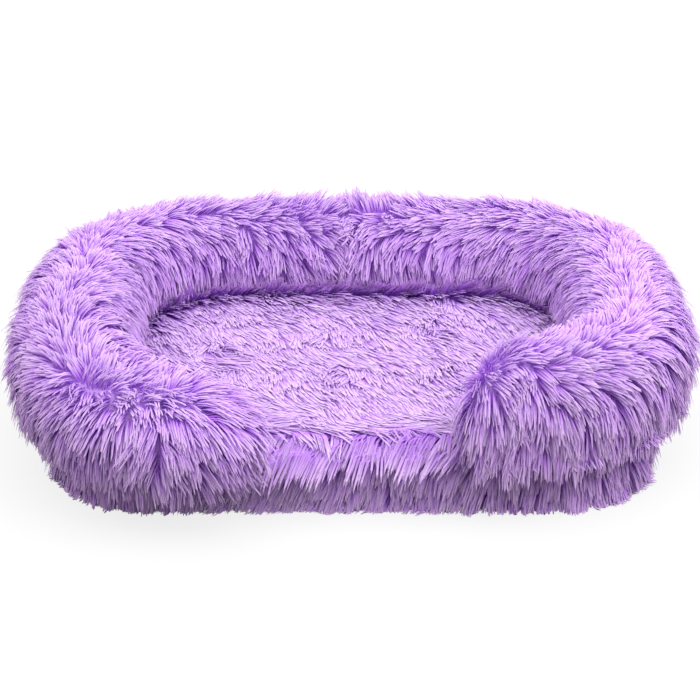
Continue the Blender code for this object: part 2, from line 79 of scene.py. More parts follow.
# Half sizes and corner radii of the mattress's outline and of the bolster's middle line
Outline = namedtuple("Outline", "half back_radius front_radius")
MATTRESS = Outline((0.340, 0.240), 0.115, 0.115)
BOLSTER = Outline((0.304, 0.221), 0.178, 0.142)

# Mattress: its rounded edge, its top and crown, and the backing that the bolster sits on
EDGE_RUN = 0.022
EDGE_DROP = 0.030
MATTRESS_TOP = 0.0879
MATTRESS_CROWN = 0.005
SEAT_BACKING = 0.0765
BAND_HEIGHTS = (0.0025, 0.0655)
ZIP_HEIGHT = 0.035

# Bolster at its back, sides and left and right ends: reach inwards and outwards, and heights
# of crown, hem and widest place
BACK_SIZE = (0.050, 0.063, 0.197, 0.052, 0.130)
SIDE_SIZE = (0.066, 0.084, 0.209, 0.060, 0.130)
TIP_SIZES = ((0.046, 0.100, 0.166, 0.033, 0.106), (0.073, 0.056, 0.208, 0.050, 0.106))

# Left and right arm: length of the domed end, how far out its middle lies, and how far from
# the middle of the open front it starts
TIP_LENGTHS = (0.106, 0.098)
TIP_END_SHIFTS = (0.042, 0.028)
ENTRY_RUNS = (0.188, 0.198)

# Bolster: flat share of its seat, its least steps past the mattress's edge, how far seams draw
# it in and along what length, and steps over its crown
CONTACT_SHARE = 0.66
EDGE_GAP = 0.003
HEM_STEP = 0.002
SHOULDER_STEP = 0.012
SEAM_DRAW = 0.003
SEAM_LENGTH = 0.015
ARC_STEPS = 28

# The knitted side of the plush lies this deep in the pile and is this thick. On the flat top
# it is lifted, and more so towards the back.
BACKING_DEPTH = 0.0165
BACKING_WALL = 0.004
TOP_LIFT = 0.0100
BACK_RISE = 0.006

# Filling under the backing, and the bottom panel in from the mattress's outline
FILL_DEPTH = 0.0223
FILL_FLOOR = 0.0925
FILL_GAP = 0.003
PANEL_INSET = 0.017

# Zip: radius of the coil's wire, overlap of the coils, where the tapes close past the stops
COIL_WIRE = 0.0003
COIL_OVERLAP = 0.0003
TAPE_ENDS = (0.186, 0.192)

# The parting of the bolster's pile on the left and on the right: distance from the middle of
# the back, and its angle in the section in degrees, from 0 at the outermost point over 90 at
# the crown. Near it the pile is swept to the back, on the left as far as the whorl.
PARTINGS = (((0.06, 118), (0.19, 106), (0.33, 88), (0.50, 84), (0.60, 60), (0.66, 44), (0.725, 72)),
            ((0.06, 118), (0.19, 106), (0.33, 88), (0.57, 90), (0.62, 72), (0.69, 55), (0.75, 52)))
PARTING_SWEEP = 0.85
LEFT_WHORL = (0.62, 0.665)

# Curls in the flat top's pile: x, y, size and strength, with a minus for clockwise ones
SWIRLS = ((-0.170, 0.014, 0.022, 1.5), (-0.141, -0.028, 0.020, -1.3), (-0.043, 0.030, 0.022, 1.5),
          (-0.006, -0.040, 0.020, -1.4), (0.075, 0.060, 0.024, 1.2))

# Ways in which the pile is combed: on the flat top, along its front and in its fringe, down
# the boxing, added to that in the middle of the front, and beside the zip
TOP_WAY = np.array([0.35, -0.94, 0])
FRONT_WAY = np.array([0.95, -0.22, 0])
FRINGE_WAY = np.array([-0.55, -0.50, -0.45])
BAND_WAY = np.array([0, 0.1, -0.9])
BAND_SWEEP = np.array([-0.55, -0.1, 0.1])
ZIP_WAY = np.array([0.9, 0, -0.15])

# Where the bolster's pile changes: away from the parting, in y to the ridge over the back,
# and in height above the seam with the mattress
PARTING_FADE = (0.010, 0.055)
RIDGE_FADE = (0.16, 0.21)
SEAM_FADE = (0.085, 0.130)

# Where the flat top's pile changes: forward to its front and to its fringe, and in from the
# bolster, which shades it as far forward as the arms reach
FRONT_FADE = (0.14, 0.19)
FRINGE_FADE = (0.196, 0.202)
BESIDE_FADE = (0.050, 0.080)
ARM_FADE = (0.02, 0.08)

# Where the boxing's pile changes: forward to its front, out from the middle of the front, out
# from the zip, and up from the hem
FACE_FADE = (0.19, 0.21)
MIDDLE_FADE = (0.14, 0.22)
ZIP_FADE = (0.232, 0.275)
HEM_FADE = (0.005, 0.030)

# Lengths of the pile on the bolster and along its parting, on the flat top and its fringe,
# and on the boxing and beside the zip. Ragged edges add up to the second figure.
BOLSTER_REACH = 0.042
PARTING_CUT = 0.014
TOP_REACH = 0.040
FRINGE_RAG = (-0.014, 0.060)
BAND_RAG = (0.034, 0.014)
ZIP_REACH = 0.010

# A strand: its widths at shares of its length, in parts of its full width, and its ridge
HANGING_STRAND = ((0.0, 0.70), (0.30, 1.0), (0.62, 1.02), (0.92, 0.72)), 0.20
LYING_STRAND = ((0.0, 0.80), (0.45, 1.05), (0.90, 0.74)), 0.08

# How far strands gather and stray in the bolster's and boxing's pile, and in the flat top's,
# whose strands are also closer and wider by these factors
HANGING_PILE = {"Lock gather": 0.17, "Tuft gather": 0.04, "Strand stray": 0.12, "Lock stray": 0.22,
                "Tuft sway": 0.24, "Swirl": 1.4, "Swirl size": 0.11, "Face stray": 0.16}
LYING_PILE = {"Lock gather": 0.06, "Tuft gather": 0.02, "Strand stray": 0.07, "Lock stray": 0.12,
              "Tuft sway": 0.12, "Swirl": 1.2, "Swirl size": 0.075, "Face stray": 0.12}
BACK_LOCK_STRAY = 0.30
LYING_SPACING = 0.92
LYING_WIDTH = 1.2

# How much locks and strands differ, and the most strands in one piece of pile
PILE_RANGES = (("lock growth", 0.70, 1.14), ("strand growth", 0.78, 1.10), ("lock shade", 0.0, 0.60),
               ("strand shade", 0.01, 0.20), ("any girth", 0.75, 1.3))
PIECE_STRANDS = 8000

PILE_INPUTS = ("Strand spacing", "Lock spacing", "Tuft spacing", "Strand half width", *HANGING_PILE)
PILE_VECTORS = ("outward", "flow", "comb", "pull", "sway", "root", "start", "finish", "face", "profile")
PILE_NUMBERS = ("reach", "lift", "droop", "cover", "pale", "grow", "shade", "girth")

# Finishes with a grain: name, colour, share of it left in the pattern's hollows (painted shade in the
# hollows of a weave or of cells), roughness, metallic, pattern, and its step and height in metres
GRAINS = {
    # Knitted ground cloth: dull, with even stitches. They are 0.6 mm wide, drawn twice as coarse.
    "backing": ("Knitted polyester backing", "backing", 0.8, 0.9, 0.0, "weave", 0.0012, 0.0002),
    # Carded fibre: white fluff without gloss. The fibres are too fine, so its 6 mm clumps show.
    "fibre": ("Loose polyester fibre filling", "fibre", 0.75, 0.95, 0.0, "fibres", 0.006, 0.002),
    # Cut foam: matt cream with dark pores, their shade painted. The cells of 0.5 mm are drawn three times
    # as coarse.
    "foam": ("Open-cell polyurethane foam", "foam", 0.6, 0.9, 0.0, "cells", 0.0015, 0.0004),
    # Needled web: flatter and closer than the loose fibre. Its fibres are drawn as 3 mm strokes.
    "wadding": ("Needled polyester wadding", "fibre", 0.78, 0.95, 0.0, "fibres", 0.003, 0.0006),
    # Plain weave: dark and matt with small square painted shadows. Threads of 0.45 mm, drawn at 0.9 mm.
    "grip_fabric": ("Woven polyester grip fabric", "grip_fabric", 0.45, 0.85, 0.0, "weave", 0.0009,
                    0.0002),
    # Rubber pressed in a blasted mould: near black with a dim shine and a grain of 0.8 mm.
    "rubber": ("Moulded rubber dots", "rubber", 0.7, 0.6, 0.0, "fibres", 0.0008, 0.00005),
    # Herringbone tape, dyed with the plush: dull. Threads of 0.35 mm, drawn twice as coarse.
    "zip_tape": ("Woven polyester zip tape", "zip_tape", 0.6, 0.85, 0.0, "weave", 0.0007, 0.0001),
    # Drawn nylon wire: smooth, so each turn has a soft light line. The dye varies over 2 mm.
    "zip_coil": ("Coiled nylon monofilament", "zip_coil", 0.8, 0.4, 0.0, "fibres", 0.002, 0.00002),
    # Die-cast, tumbled and plated: bright, with blurred lights that wander over 1.5 mm.
    "metal": ("Nickel-plated zinc", "metal", 0.6, 0.28, 1.0, "fibres", 0.0015, 0.00002),
}

# A wave texture of scale 1 has a band every 0.314 m
WAVE_STEP = 0.314

# Stage: the middle of the view; the floor's half size, its tone to light and to the camera, and
# the share of plain white in it; the sky's strength at the horizon and overhead; the lamp's
# place, aim, sizes and watts
VIEW_TARGET = (-0.0022, 0, 0.0887)
FLOOR_HALF = 20.0
FLOOR_TONES = (0.07, 0.9)
FLOOR_WHITE = 0.80
SKY_RANGE = (0.10, 1.78)
LAMP_PLACE = (1.3, -0.85, 1.8)
LAMP_AIM = (0, 0, 0.1)
LAMP_SIZES = (1.8, 1.2)
LAMP_POWER = 16.5


def linear(code):
    """An sRGB hex colour as linear red, green, blue."""
    parts = [int(code[i:i + 2], 16) / 255 for i in (1, 3, 5)]
    return [part / 12.92 if part <= 0.04045 else ((part + 0.055) / 1.055) ** 2.4 for part in parts]


def add_node(tree, kind, inputs=None, out=0, **settings):
    """Add a node, set its properties and give each input a value or a link. It returns the
    output that is asked for, or with None all of them."""
    node = tree.nodes.new(kind)
    for name, value in settings.items():
        setattr(node, name, value)
    for key, value in (inputs or {}).items():
        if isinstance(value, bpy.types.NodeSocket):
            tree.links.new(value, node.inputs[key])
        else:
            node.inputs[key].default_value = value
    return node.outputs if out is None else node.outputs[out]


def smooth_step(value, start, end):
    share = np.clip((value - start) / (end - start), 0, 1)
    return share * share * (3 - 2 * share)


def path_marks(line):
    """Distances from the middle of the back at which each run and corner ends."""
    half, back_radius, front_radius = line
    return np.cumsum([0, half[0] - back_radius, back_radius * math.pi / 2,
                      2 * half[1] - back_radius - front_radius, front_radius * math.pi / 2,
                      half[0] - front_radius])


# Where the bolster's runs and corners end, the seams at its back corners, and its arms' ends
MARKS = path_marks(BOLSTER)
MITRE = (MARKS[1] + MARKS[2]) / 2
ARM_ENDS = (ENTRY_RUNS[0] - MARKS[-1], MARKS[-1] - ENTRY_RUNS[1])


def rounded_path(line, distance):
    """Points and outward normals on an outline with rounded corners, at distances from the
    middle of its back, negative on the left."""
    half, back_radius, front_radius = line
    marks = path_marks(line)
    side = np.where(distance < 0, -1, 1)
    gone = np.abs(distance)
    back_turn = np.clip(gone - marks[1], 0, marks[2] - marks[1]) / back_radius
    front_turn = np.clip(gone - marks[3], 0, marks[4] - marks[3]) / front_radius
    x = (np.clip(gone, 0, marks[1]) + back_radius * np.sin(back_turn)
         - front_radius * (1 - np.cos(front_turn)) - np.clip(gone - marks[4], 0, None))
    y = (half[1] - back_radius * (1 - np.cos(back_turn)) - front_radius * np.sin(front_turn)
         - np.clip(gone - marks[2], 0, marks[3] - marks[2]))
    turn = back_turn + front_turn
    return np.stack([side * x, y], -1), np.stack([side * np.sin(turn), np.cos(turn)], -1)


def depth_inside(spots, line):
    """Distance in from an outline, negative outside it."""
    half, back_radius, front_radius = line
    radius = np.where(spots[..., 1] > 0, back_radius, front_radius)
    past = np.abs(spots) - (np.array(half) - radius[..., None])
    outside = np.linalg.norm(np.maximum(past, 0), axis=-1)
    return radius - outside - np.minimum(past.max(-1), 0)


def edge_reach(place, normal, inset):
    """How far out along each normal the mattress's outline, moved in by inset, lies."""
    low = np.full(len(place), -MATTRESS.back_radius)
    high = np.full(len(place), 2 * MATTRESS.back_radius)
    for _ in range(30):
        middle = (low + high) / 2
        within = depth_inside(place + normal * middle[:, None], MATTRESS) > inset
        low = np.where(within, middle, low)
        high = np.where(within, high, middle)
    return low


def bolster_sections(distance, depth, floor_depth=0.0):
    """Closed sections of the bolster, each from its outermost point over the crown and the
    seat back to the outside, with all its walls moved in by a depth."""
    gone = np.abs(distance)[:, None]
    tip = np.where((distance < 0)[:, None], TIP_SIZES[0], TIP_SIZES[1])
    back = np.array(BACK_SIZE)
    size = back + (np.array(SIDE_SIZE) - back) * smooth_step(gone, MARKS[1], MARKS[2])
    size = size + (tip - size) * smooth_step(gone, MARKS[3], MARKS[4])
    ends = np.where(distance < 0, -ARM_ENDS[0], ARM_ENDS[1])
    nearest = np.minimum(np.abs(gone[:, 0] - MITRE), np.abs(gone[:, 0] - ends))
    draw = SEAM_DRAW * (1 - smooth_step(nearest, 0, SEAM_LENGTH)) + depth
    reach_in, reach_out, crown, hem, middle = size.T
    reach_in, reach_out, crown, hem = reach_in - draw, reach_out - draw, crown - draw, hem + draw
    floor = SEAT_BACKING + floor_depth
    place, normal = rounded_path(BOLSTER, distance)
    edge = np.minimum(edge_reach(place, normal, 0) + EDGE_GAP + depth / 2, reach_out - HEM_STEP)
    shoulder = np.minimum(edge_reach(place, normal, EDGE_RUN) + depth / 2, edge - SHOULDER_STEP)
    points = []
    for turn in np.linspace(0, math.pi, ARC_STEPS + 1):
        reach = reach_out if turn < math.pi / 2 else reach_in
        points.append((reach * math.cos(turn), middle + (crown - middle) * math.sin(turn)))
    contact = reach_in * CONTACT_SHARE
    for turn in np.linspace(0, math.pi / 2, 8)[1:]:
        across = contact + (reach_in - contact) * math.cos(turn)
        points.append((-across, middle - (middle - floor) * math.sin(turn)))
    for share in (0.34, 0.67, 1.0):
        points.append((-contact + (shoulder + contact) * share, np.full_like(contact, floor)))
    points.append((edge, np.maximum(MATTRESS_TOP - EDGE_DROP + depth / 2, hem)))
    hem_reach = edge + (reach_out - edge) * 0.35
    for turn in np.linspace(0, math.pi / 2, 9)[:-1]:
        across = hem_reach + (reach_out - hem_reach) * math.sin(turn)
        points.append((across, middle - (middle - hem) * math.cos(turn)))
    across, height = [np.stack(values, 1) for values in zip(*points)]
    flat = place[:, None] + normal[:, None] * across[..., None]
    return np.concatenate([flat, height[..., None]], -1)


def bolster_stations(start, end):
    count = max(2, round(abs(end - start) / 0.009))
    return np.linspace(start, end, count + 1)


def dome_sections(distance, depth, floor_depth=0.0):
    """Sections that close the end of an arm, each smaller and further along it."""
    arm = 0 if distance < 0 else 1
    ring = bolster_sections(np.array([distance]), depth, floor_depth)[0]
    place, normal = rounded_path(BOLSTER, np.array([distance]))
    place, normal = place[0], normal[0]
    forward = np.array([normal[1], -normal[0], 0]) * (-1, 1)[arm]
    middle = place + normal * TIP_END_SHIFTS[arm]
    centre = np.array([*middle, TIP_SIZES[arm][4]])
    length = TIP_LENGTHS[arm] - depth
    turns = np.linspace(0, math.pi / 2, 15)[:-1]
    rings = [centre + (ring - centre) * math.cos(turn) + forward * length * math.sin(turn)
             for turn in turns]
    return np.array(rings), centre + forward * length


class Skin:
    """Rows of points that carry the pile: the knitted side of the plush."""

    def __init__(self, rows, around, heart, pole=None):
        self.rows = np.array(rows, float)
        self.around = around
        self.heart = np.broadcast_to(np.asarray(heart, float), (len(rows), 3))
        self.pole = pole

    def mesh(self, name, first=0, last=None):
        """A mesh of the rows from first to last, with its faces away from the heart."""
        last = len(self.rows) - 1 if last is None else last
        rows = self.rows[first:last + 1]
        count = rows.shape[1]
        index = np.arange(len(rows) * count).reshape(len(rows), count)
        near, far = (index, np.roll(index, -1, 1)) if self.around else (index[:, :-1], index[:, 1:])
        quads = np.stack([near[:-1], far[:-1], far[1:], near[1:]], -1).reshape(-1, 4)
        points = rows.reshape(-1, 3)
        faces = quads.tolist()
        if self.pole is not None and last == len(self.rows) - 1:
            points = np.vstack([points, self.pole])
            faces += [(a, b, len(points) - 1) for a, b in zip(near[-1].tolist(), far[-1].tolist())]
        mesh = bpy.data.meshes.new(name)
        mesh.from_pydata(points.tolist(), [], faces)
        hearts = np.repeat(self.heart[first:last + 1], count, 0)
        normals = read_vectors(mesh.vertex_normals, "vector")[:len(hearts)]
        if (normals * (points[:len(hearts)] - hearts)).sum() < 0:
            mesh.flip_normals()
        mesh.shade_smooth()
        return mesh

    def hems(self):
        """The lowest height of each point's row, or of the whole of a dome."""
        lows = self.rows[..., 2].min(1)
        if self.pole is None:
            return np.repeat(lows, self.rows.shape[1])
        return np.full(self.rows[..., 2].size + 1, lows.min())

    def cuts(self, cover, density):
        """The rows at which the skin is cut into parts with a like number of strands."""
        rows, count = self.rows.shape[:2]
        beside = np.roll(self.rows, -1, 1) - self.rows
        area = np.linalg.norm(np.cross(self.rows[1:] - self.rows[:-1], beside[:-1]), axis=2)
        if not self.around:
            area = area[:, :-1]
        cover = cover[:rows * count].reshape(rows, count)
        amount = (area * cover[:-1, :area.shape[1]]).sum(1) * density
        parts = max(1, math.ceil(amount.sum() / PIECE_STRANDS))
        reached = np.cumsum(amount) / amount.sum()
        inner = [int(np.searchsorted(reached, part / parts)) + 1 for part in range(1, parts)]
        return [0, *inner, rows - 1]


def read_vectors(items, field):
    values = np.empty(len(items) * 3, np.float32)
    items.foreach_get(field, values)
    return values.reshape(-1, 3).astype(float)


def write_fields(mesh, fields, first=0):
    """Store a number or a vector for each point of a mesh, from tables that start earlier."""
    for name, values in fields.items():
        values = np.asarray(values, np.float32)[first:first + len(mesh.vertices)]
        kind, field = ("FLOAT", "value") if values.ndim == 1 else ("FLOAT_VECTOR", "vector")
        mesh.attributes.new(name, kind, "POINT").data.foreach_set(field, values.ravel())


def add_piece(name, mesh, material, node):
    """Link a finished piece, give it its material, set it on the bed's body and hide the solid that it
    stands for."""
    piece = bpy.data.objects.new(name, mesh)
    bpy.context.scene.collection.objects.link(piece)
    if material is not None:
        mesh.materials.clear()
        mesh.materials.append(material)
    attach(piece, "bed")
    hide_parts(node)
    return piece


def strand_mesh(widths, ridge):
    """One strand before it is bent, its cross-section in x and y and its length in z."""
    section = ((-1.0, -0.10), (1.0, -0.10), (0.0, ridge))
    points = [(x * width, y * width, along) for along, width in widths for x, y in section]
    points.append((0.0, 0.0, 1.0))
    faces = [(2, 1, 0)]
    for row in range(len(widths) - 1):
        for corner in range(3):
            a, b = row * 3 + corner, row * 3 + (corner + 1) % 3
            faces.append((a, b, b + 3, a + 3))
    top = (len(widths) - 1) * 3
    faces += [(top + corner, top + (corner + 1) % 3, top + 3) for corner in range(3)]
    mesh = bpy.data.meshes.new("strand")
    mesh.from_pydata(points, [], faces)
    write_fields(mesh, {"profile": points})
    # On its map a strand is a narrow column from root to tip, with no face of zero area
    map_layer = mesh.uv_layers.new(name="OFBake")
    sides = (0.0, 0.004, 0.008)
    for face in mesh.polygons:
        for loop in face.loop_indices:
            vertex = mesh.loops[loop].vertex_index
            side = sides[vertex % 3] if vertex < len(points) - 1 else sides[1]
            rise = 0.006 if vertex % 3 == 1 and face.index == 0 else 0.0
            map_layer.data[loop].uv = (side, 0.01 + 0.975 * points[vertex][2] + rise)
    return mesh


def open_tree(name, sockets):
    """A Geometry Nodes tree and a table of its inputs."""
    tree = bpy.data.node_groups.new(name, "GeometryNodeTree")
    for label, kind in (("Geometry", "Geometry"), *sockets):
        tree.interface.new_socket(label, in_out="INPUT", socket_type=f"NodeSocket{kind}")
    tree.interface.new_socket("Geometry", in_out="OUTPUT", socket_type="NodeSocketGeometry")
    given = tree.nodes.new("NodeGroupInput").outputs
    return tree, {socket.name: socket for socket in given if socket.name}


def lay_copies(tree, points, shape, **more):
    """Copies of an object on points, made real."""
    shape = add_node(tree, "GeometryNodeObjectInfo", {"Object": shape}, "Geometry")
    laid = add_node(tree, "GeometryNodeInstanceOnPoints", {"Points": points, "Instance": shape, **more})
    return add_node(tree, "GeometryNodeRealizeInstances", {"Geometry": laid})


def close_tree(tree, geometry, finish):
    laid = add_node(tree, "GeometryNodeSetMaterial", {"Geometry": geometry, "Material": finish})
    add_node(tree, "NodeGroupOutput", {"Geometry": laid}, None)
    return tree


def pile_tree():
    """Geometry Nodes that set strands on a mesh. The strands gather in locks, and the locks
    in tufts. The mesh carries how the pile grows at each point. It may be one part of a skin,
    whose tufts and locks are the same for each part."""
    tree, made = open_tree("Long pile", (
        ("Skin", "Object"), ("Strand", "Object"), ("Finish", "Material"), ("Seed", "Int"),
        ("Part", "Int"), *((name, "Float") for name in PILE_INPUTS)))
    made["here"] = add_node(tree, "GeometryNodeInputPosition")
    for name in (*PILE_VECTORS, "OFBake", *PILE_NUMBERS):
        kind = "FLOAT" if name in PILE_NUMBERS else "FLOAT_VECTOR"
        made[name] = add_node(tree, "GeometryNodeInputNamedAttribute", {"Name": name}, data_type=kind)
    for seed, name in enumerate(("any tuft way", "any lock way", "any strand way", "any face")):
        made[name] = add_node(tree, "FunctionNodeRandomValue",
                              {0: (-1, -1, -1), 1: (1, 1, 1), "Seed": 10 + seed},
                              data_type="FLOAT_VECTOR")
    for seed, (name, low, high) in enumerate(PILE_RANGES):
        made[name] = add_node(tree, "FunctionNodeRandomValue", {2: low, 3: high, "Seed": 20 + seed}, 1,
                              data_type="FLOAT")

    def work(*rows):
        """Add a math node for each row: its result's name, its operation and its operands.
        A small letter at the front is for numbers, a capital one for vectors."""
        for name, operation, *values in rows:
            kind = "ShaderNodeVectorMath" if operation[0].isupper() else "ShaderNodeMath"
            inputs = {place: made.get(value, value) if isinstance(value, str) else value
                      for place, value in enumerate(values)}
            made[name] = add_node(tree, kind, inputs, operation=operation.upper())

    def scatter(name, mesh, spacing, seed, cover):
        """Points no nearer than the spacing, from about twice as many tries as fit."""
        work(("square", "multiply", spacing, spacing), ("most", "divide", 2.2, "square"),
             ("seed", "add", *seed))
        made[name] = add_node(tree, "GeometryNodeDistributePointsOnFaces", {
            "Mesh": made[mesh], "Distance Min": made[spacing], "Density Max": made["most"],
            "Density Factor": cover, "Seed": made["seed"]}, distribute_method="POISSON")

    def keep(points, **values):
        for name, value in values.items():
            kind = "FLOAT" if name in PILE_NUMBERS else "FLOAT_VECTOR"
            made[points] = add_node(tree, "GeometryNodeStoreNamedAttribute", {
                "Geometry": made[points], "Name": name, "Value": made[value]},
                data_type=kind, domain="POINT")

    def look_up(points, **values):
        nearest = add_node(tree, "GeometryNodeSampleNearest", {"Geometry": made[points]}, domain="POINT")
        for name, value in values.items():
            kind = "FLOAT" if value in PILE_NUMBERS else "FLOAT_VECTOR"
            made[name] = add_node(tree, "GeometryNodeSampleIndex", {
                "Geometry": made[points], "Value": made[value], "Index": nearest},
                data_type=kind, domain="POINT")

    made["whole"] = add_node(tree, "GeometryNodeObjectInfo", {"Object": made["Skin"]}, "Geometry")
    scatter("tufts", "whole", "Tuft spacing", ("Seed", 1), 1.0)
    work(("tuft way", "Multiply", "any tuft way", "Tuft sway"))
    keep("tufts", sway="tuft way")

    scatter("locks", "whole", "Lock spacing", ("Seed", 2), 1.0)
    look_up("tufts", tuft_sway="sway", tuft_place="here")
    work(("swirl scale", "divide", 1.0, "Swirl size"))
    made["noise"] = add_node(tree, "ShaderNodeTexNoise", {
        "Vector": made["here"], "Scale": made["swirl scale"], "Detail": 1.0}, "Color")
    work(("turned", "Subtract", "noise", (0.5, 0.5, 0.5)),
         ("swirl", "Multiply", "turned", "Swirl"),
         ("lock way", "Multiply", "any lock way", "Lock stray"),
         ("swayed", "Add", "flow", "tuft_sway"),
         ("swirled", "Add", "swayed", "swirl"),
         ("strayed", "Add", "swirled", "lock way"),
         ("upright", "Project", "strayed", "outward"),
         ("lock comb", "Subtract", "strayed", "upright"),
         ("to tuft", "Subtract", "tuft_place", "here"),
         ("tuft pull", "Multiply", "to tuft", "Tuft gather"))
    keep("locks", comb="lock comb", pull="tuft pull", grow="lock growth", shade="lock shade")

    scatter("roots", "Geometry", "Strand spacing", ("Seed", "Part"), made["cover"])
    look_up("locks", lock_comb="comb", lock_pull="pull", lock_grow="grow", lock_tint="shade",
            lock_place="here")
    work(("strand way", "Multiply", "any strand way", "Strand stray"),
         ("strand comb", "Add", "lock_comb", "strand way"),
         ("growth", "multiply", "lock_grow", "strand growth"),
         ("length", "multiply", "reach", "growth"),
         ("raised", "Multiply", "outward", "lift"),
         ("rising", "Add", "raised", "strand comb"),
         ("start way", "Normalize", "rising"),
         ("strand start", "Multiply", "start way", "length"),
         ("weight", "Multiply", "droop", (0.0, 0.0, -1.0)),
         ("hanging", "Add", "strand comb", "weight"),
         ("settled", "Multiply_Add", "raised", (0.22, 0.22, 0.22), "hanging"),
         ("end way", "Normalize", "settled"),
         ("strand finish", "Multiply", "end way", "length"),
         ("to lock", "Subtract", "lock_place", "here"),
         ("strand pull", "Multiply_Add", "to lock", "Lock gather", "lock_pull"),
         ("strand face", "Multiply_Add", "any face", "Face stray", "outward"),
         ("strand girth", "multiply", "Strand half width", "any girth"),
         ("paler", "add", "lock_tint", "pale"),
         ("strand tint", "add", "paler", "strand shade"))
    keep("roots", root="here", start="strand start", finish="strand finish", pull="strand pull",
         face="strand face", girth="strand girth", shade="strand tint")

    laid = lay_copies(tree, made["roots"], made["Strand"])
    made["x"], made["y"], made["along"] = add_node(
        tree, "ShaderNodeSeparateXYZ", {0: made["profile"]}, None)
    # Each strand sets off along start, ends along finish and is pulled to its lock's middle
    work(("square", "multiply", "along", "along"),
         ("late", "multiply", "square", 0.5),
         ("early", "subtract", "along", "late"),
         ("left", "subtract", 1.0, "along"),
         ("gathered", "power", "along", 1.3),
         ("set off", "Multiply_Add", "start", "early", "root"),
         ("bent", "Multiply_Add", "finish", "late", "set off"),
         ("spine", "Multiply_Add", "pull", "gathered", "bent"),
         ("first", "Multiply", "start", "left"),
         ("second", "Multiply_Add", "finish", "along", "first"),
         ("heading", "Normalize", "second"),
         ("beside", "Cross_Product", "face", "heading"),
         ("across", "Normalize", "beside"),
         ("above", "Cross_Product", "heading", "across"),
         ("wide", "multiply", "x", "girth"),
         ("thick", "multiply", "y", "girth"),
         ("side", "Multiply_Add", "across", "wide", "spine"),
         ("spot", "Multiply_Add", "above", "thick", "side"),
         ("on floor", "Maximum", "spot", (-9.0, -9.0, 0.0006)),
         ("tint", "Multiply", "shade", (1.0, 0.0, 0.0)),
         ("place on map", "Add", "OFBake", "tint"))
    laid = add_node(tree, "GeometryNodeSetPosition", {"Geometry": laid, "Position": made["on floor"]})
    laid = add_node(tree, "GeometryNodeStoreNamedAttribute", {
        "Geometry": laid, "Name": "OFBake", "Value": made["place on map"]},
        data_type="FLOAT2", domain="CORNER")
    return close_tree(tree, laid, made["Finish"])


def new_material(name, roughness):
    """A material, its node tree and its shader's inputs."""
    material = bpy.data.materials.new(name)
    material.use_nodes = True
    inputs = material.node_tree.nodes["Principled BSDF"].inputs
    inputs["Roughness"].default_value = roughness
    return material, material.node_tree, inputs


def plush_material(dye):
    """Long-pile polyester plush, dyed in the piece, with little gloss. Each strand runs from a dark,
    saturated root to a paler tip: painted shade between the locks. Real fibres of 0.05 mm are too fine to
    show, so each strand stands for a bundle of them. The colour runs along and between strands on their
    map."""
    material, tree, inputs = new_material("Long-pile polyester plush", 0.55)
    inputs["Specular IOR Level"].default_value = 0.12
    spot = add_node(tree, "ShaderNodeUVMap", uv_map="OFBake")
    across, along, _ = add_node(tree, "ShaderNodeSeparateXYZ", {0: spot}, None)
    # The ramps darken each strand towards its root: painted shade deep in the pile.
    rise = add_node(tree, "ShaderNodeMapRange", {"Value": along}, interpolation_type="SMOOTHSTEP")
    ramps = [add_node(tree, "ShaderNodeMix", {"Factor": rise, 6: (*root, 1), 7: (*tip, 1)}, 2,
                      data_type="RGBA")
             for root, tip in ((dye.deep_root, dye.deep_tip), (dye.pale_root, dye.pale_tip))]
    mixed = add_node(tree, "ShaderNodeMix", {"Factor": across, 6: ramps[0], 7: ramps[1]}, 2,
                     data_type="RGBA")
    tree.links.new(mixed, inputs["Base Color"])
    return material


def grain_material(dye, finish):
    """A finish whose colour and relief follow one pattern: a weave, open cells or fibres."""
    name, colour, hollow, roughness, metallic, pattern, size, relief = GRAINS[finish]
    material, tree, inputs = new_material(name, roughness)
    inputs["Metallic"].default_value = metallic
    spot = add_node(tree, "ShaderNodeTexCoord", out="Object")
    if pattern == "weave":
        rows = [add_node(tree, "ShaderNodeTexWave", {"Vector": spot, "Scale": WAVE_STEP / size}, "Fac",
                         bands_direction=way) for way in ("X", "DIAGONAL")]
        height = add_node(tree, "ShaderNodeMath", dict(enumerate(rows)), operation="MULTIPLY")
    elif pattern == "cells":
        height = add_node(tree, "ShaderNodeTexVoronoi", {"Vector": spot, "Scale": 1 / size}, "Distance")
    else:
        height = add_node(tree, "ShaderNodeTexNoise", {
            "Vector": spot, "Scale": 1 / size, "Detail": 4.0, "Distortion": 2.0}, "Fac")
    colour = getattr(dye, colour)
    # Where the pattern is low the colour is darker: painted shade in the hollows of a weave and in open
    # cells.
    low = [part * hollow for part in colour]
    shade = add_node(tree, "ShaderNodeMix", {"Factor": height, 6: (*low, 1), 7: (*colour, 1)}, 2,
                     data_type="RGBA")
    raised = add_node(tree, "ShaderNodeBump", {"Height": height, "Distance": relief})
    tree.links.new(shade, inputs["Base Color"])
    tree.links.new(raised, inputs["Normal"])
    return material


def crown_line():
    """Points along the parting of the bolster's pile, which ends in a whorl on each arm, and
    the way along it at each point, shorter where the pile isn't swept that way."""
    stations = np.linspace(*ARM_ENDS, 180)
    sections = bolster_sections(stations, BACKING_DEPTH)
    left, right = [np.interp(np.abs(stations), *np.transpose(table)) for table in PARTINGS]
    place = np.where(stations < 0, left, right) * (ARC_STEPS / 180)
    low = place.astype(int)
    share = (place - low)[:, None]
    rows = np.arange(len(stations))
    line = sections[rows, low] * (1 - share) + sections[rows, low + 1] * share
    rings, _ = dome_sections(ARM_ENDS[1], BACKING_DEPTH)
    line = np.vstack([line, rings[np.arange(1, 6), np.arange(9, 14)]])
    along = np.gradient(line, axis=0)
    along /= np.linalg.norm(along, axis=1)[:, None]
    along[:len(stations)] *= (1 - smooth_step(-stations, *LEFT_WHORL))[:, None]
    return line, along


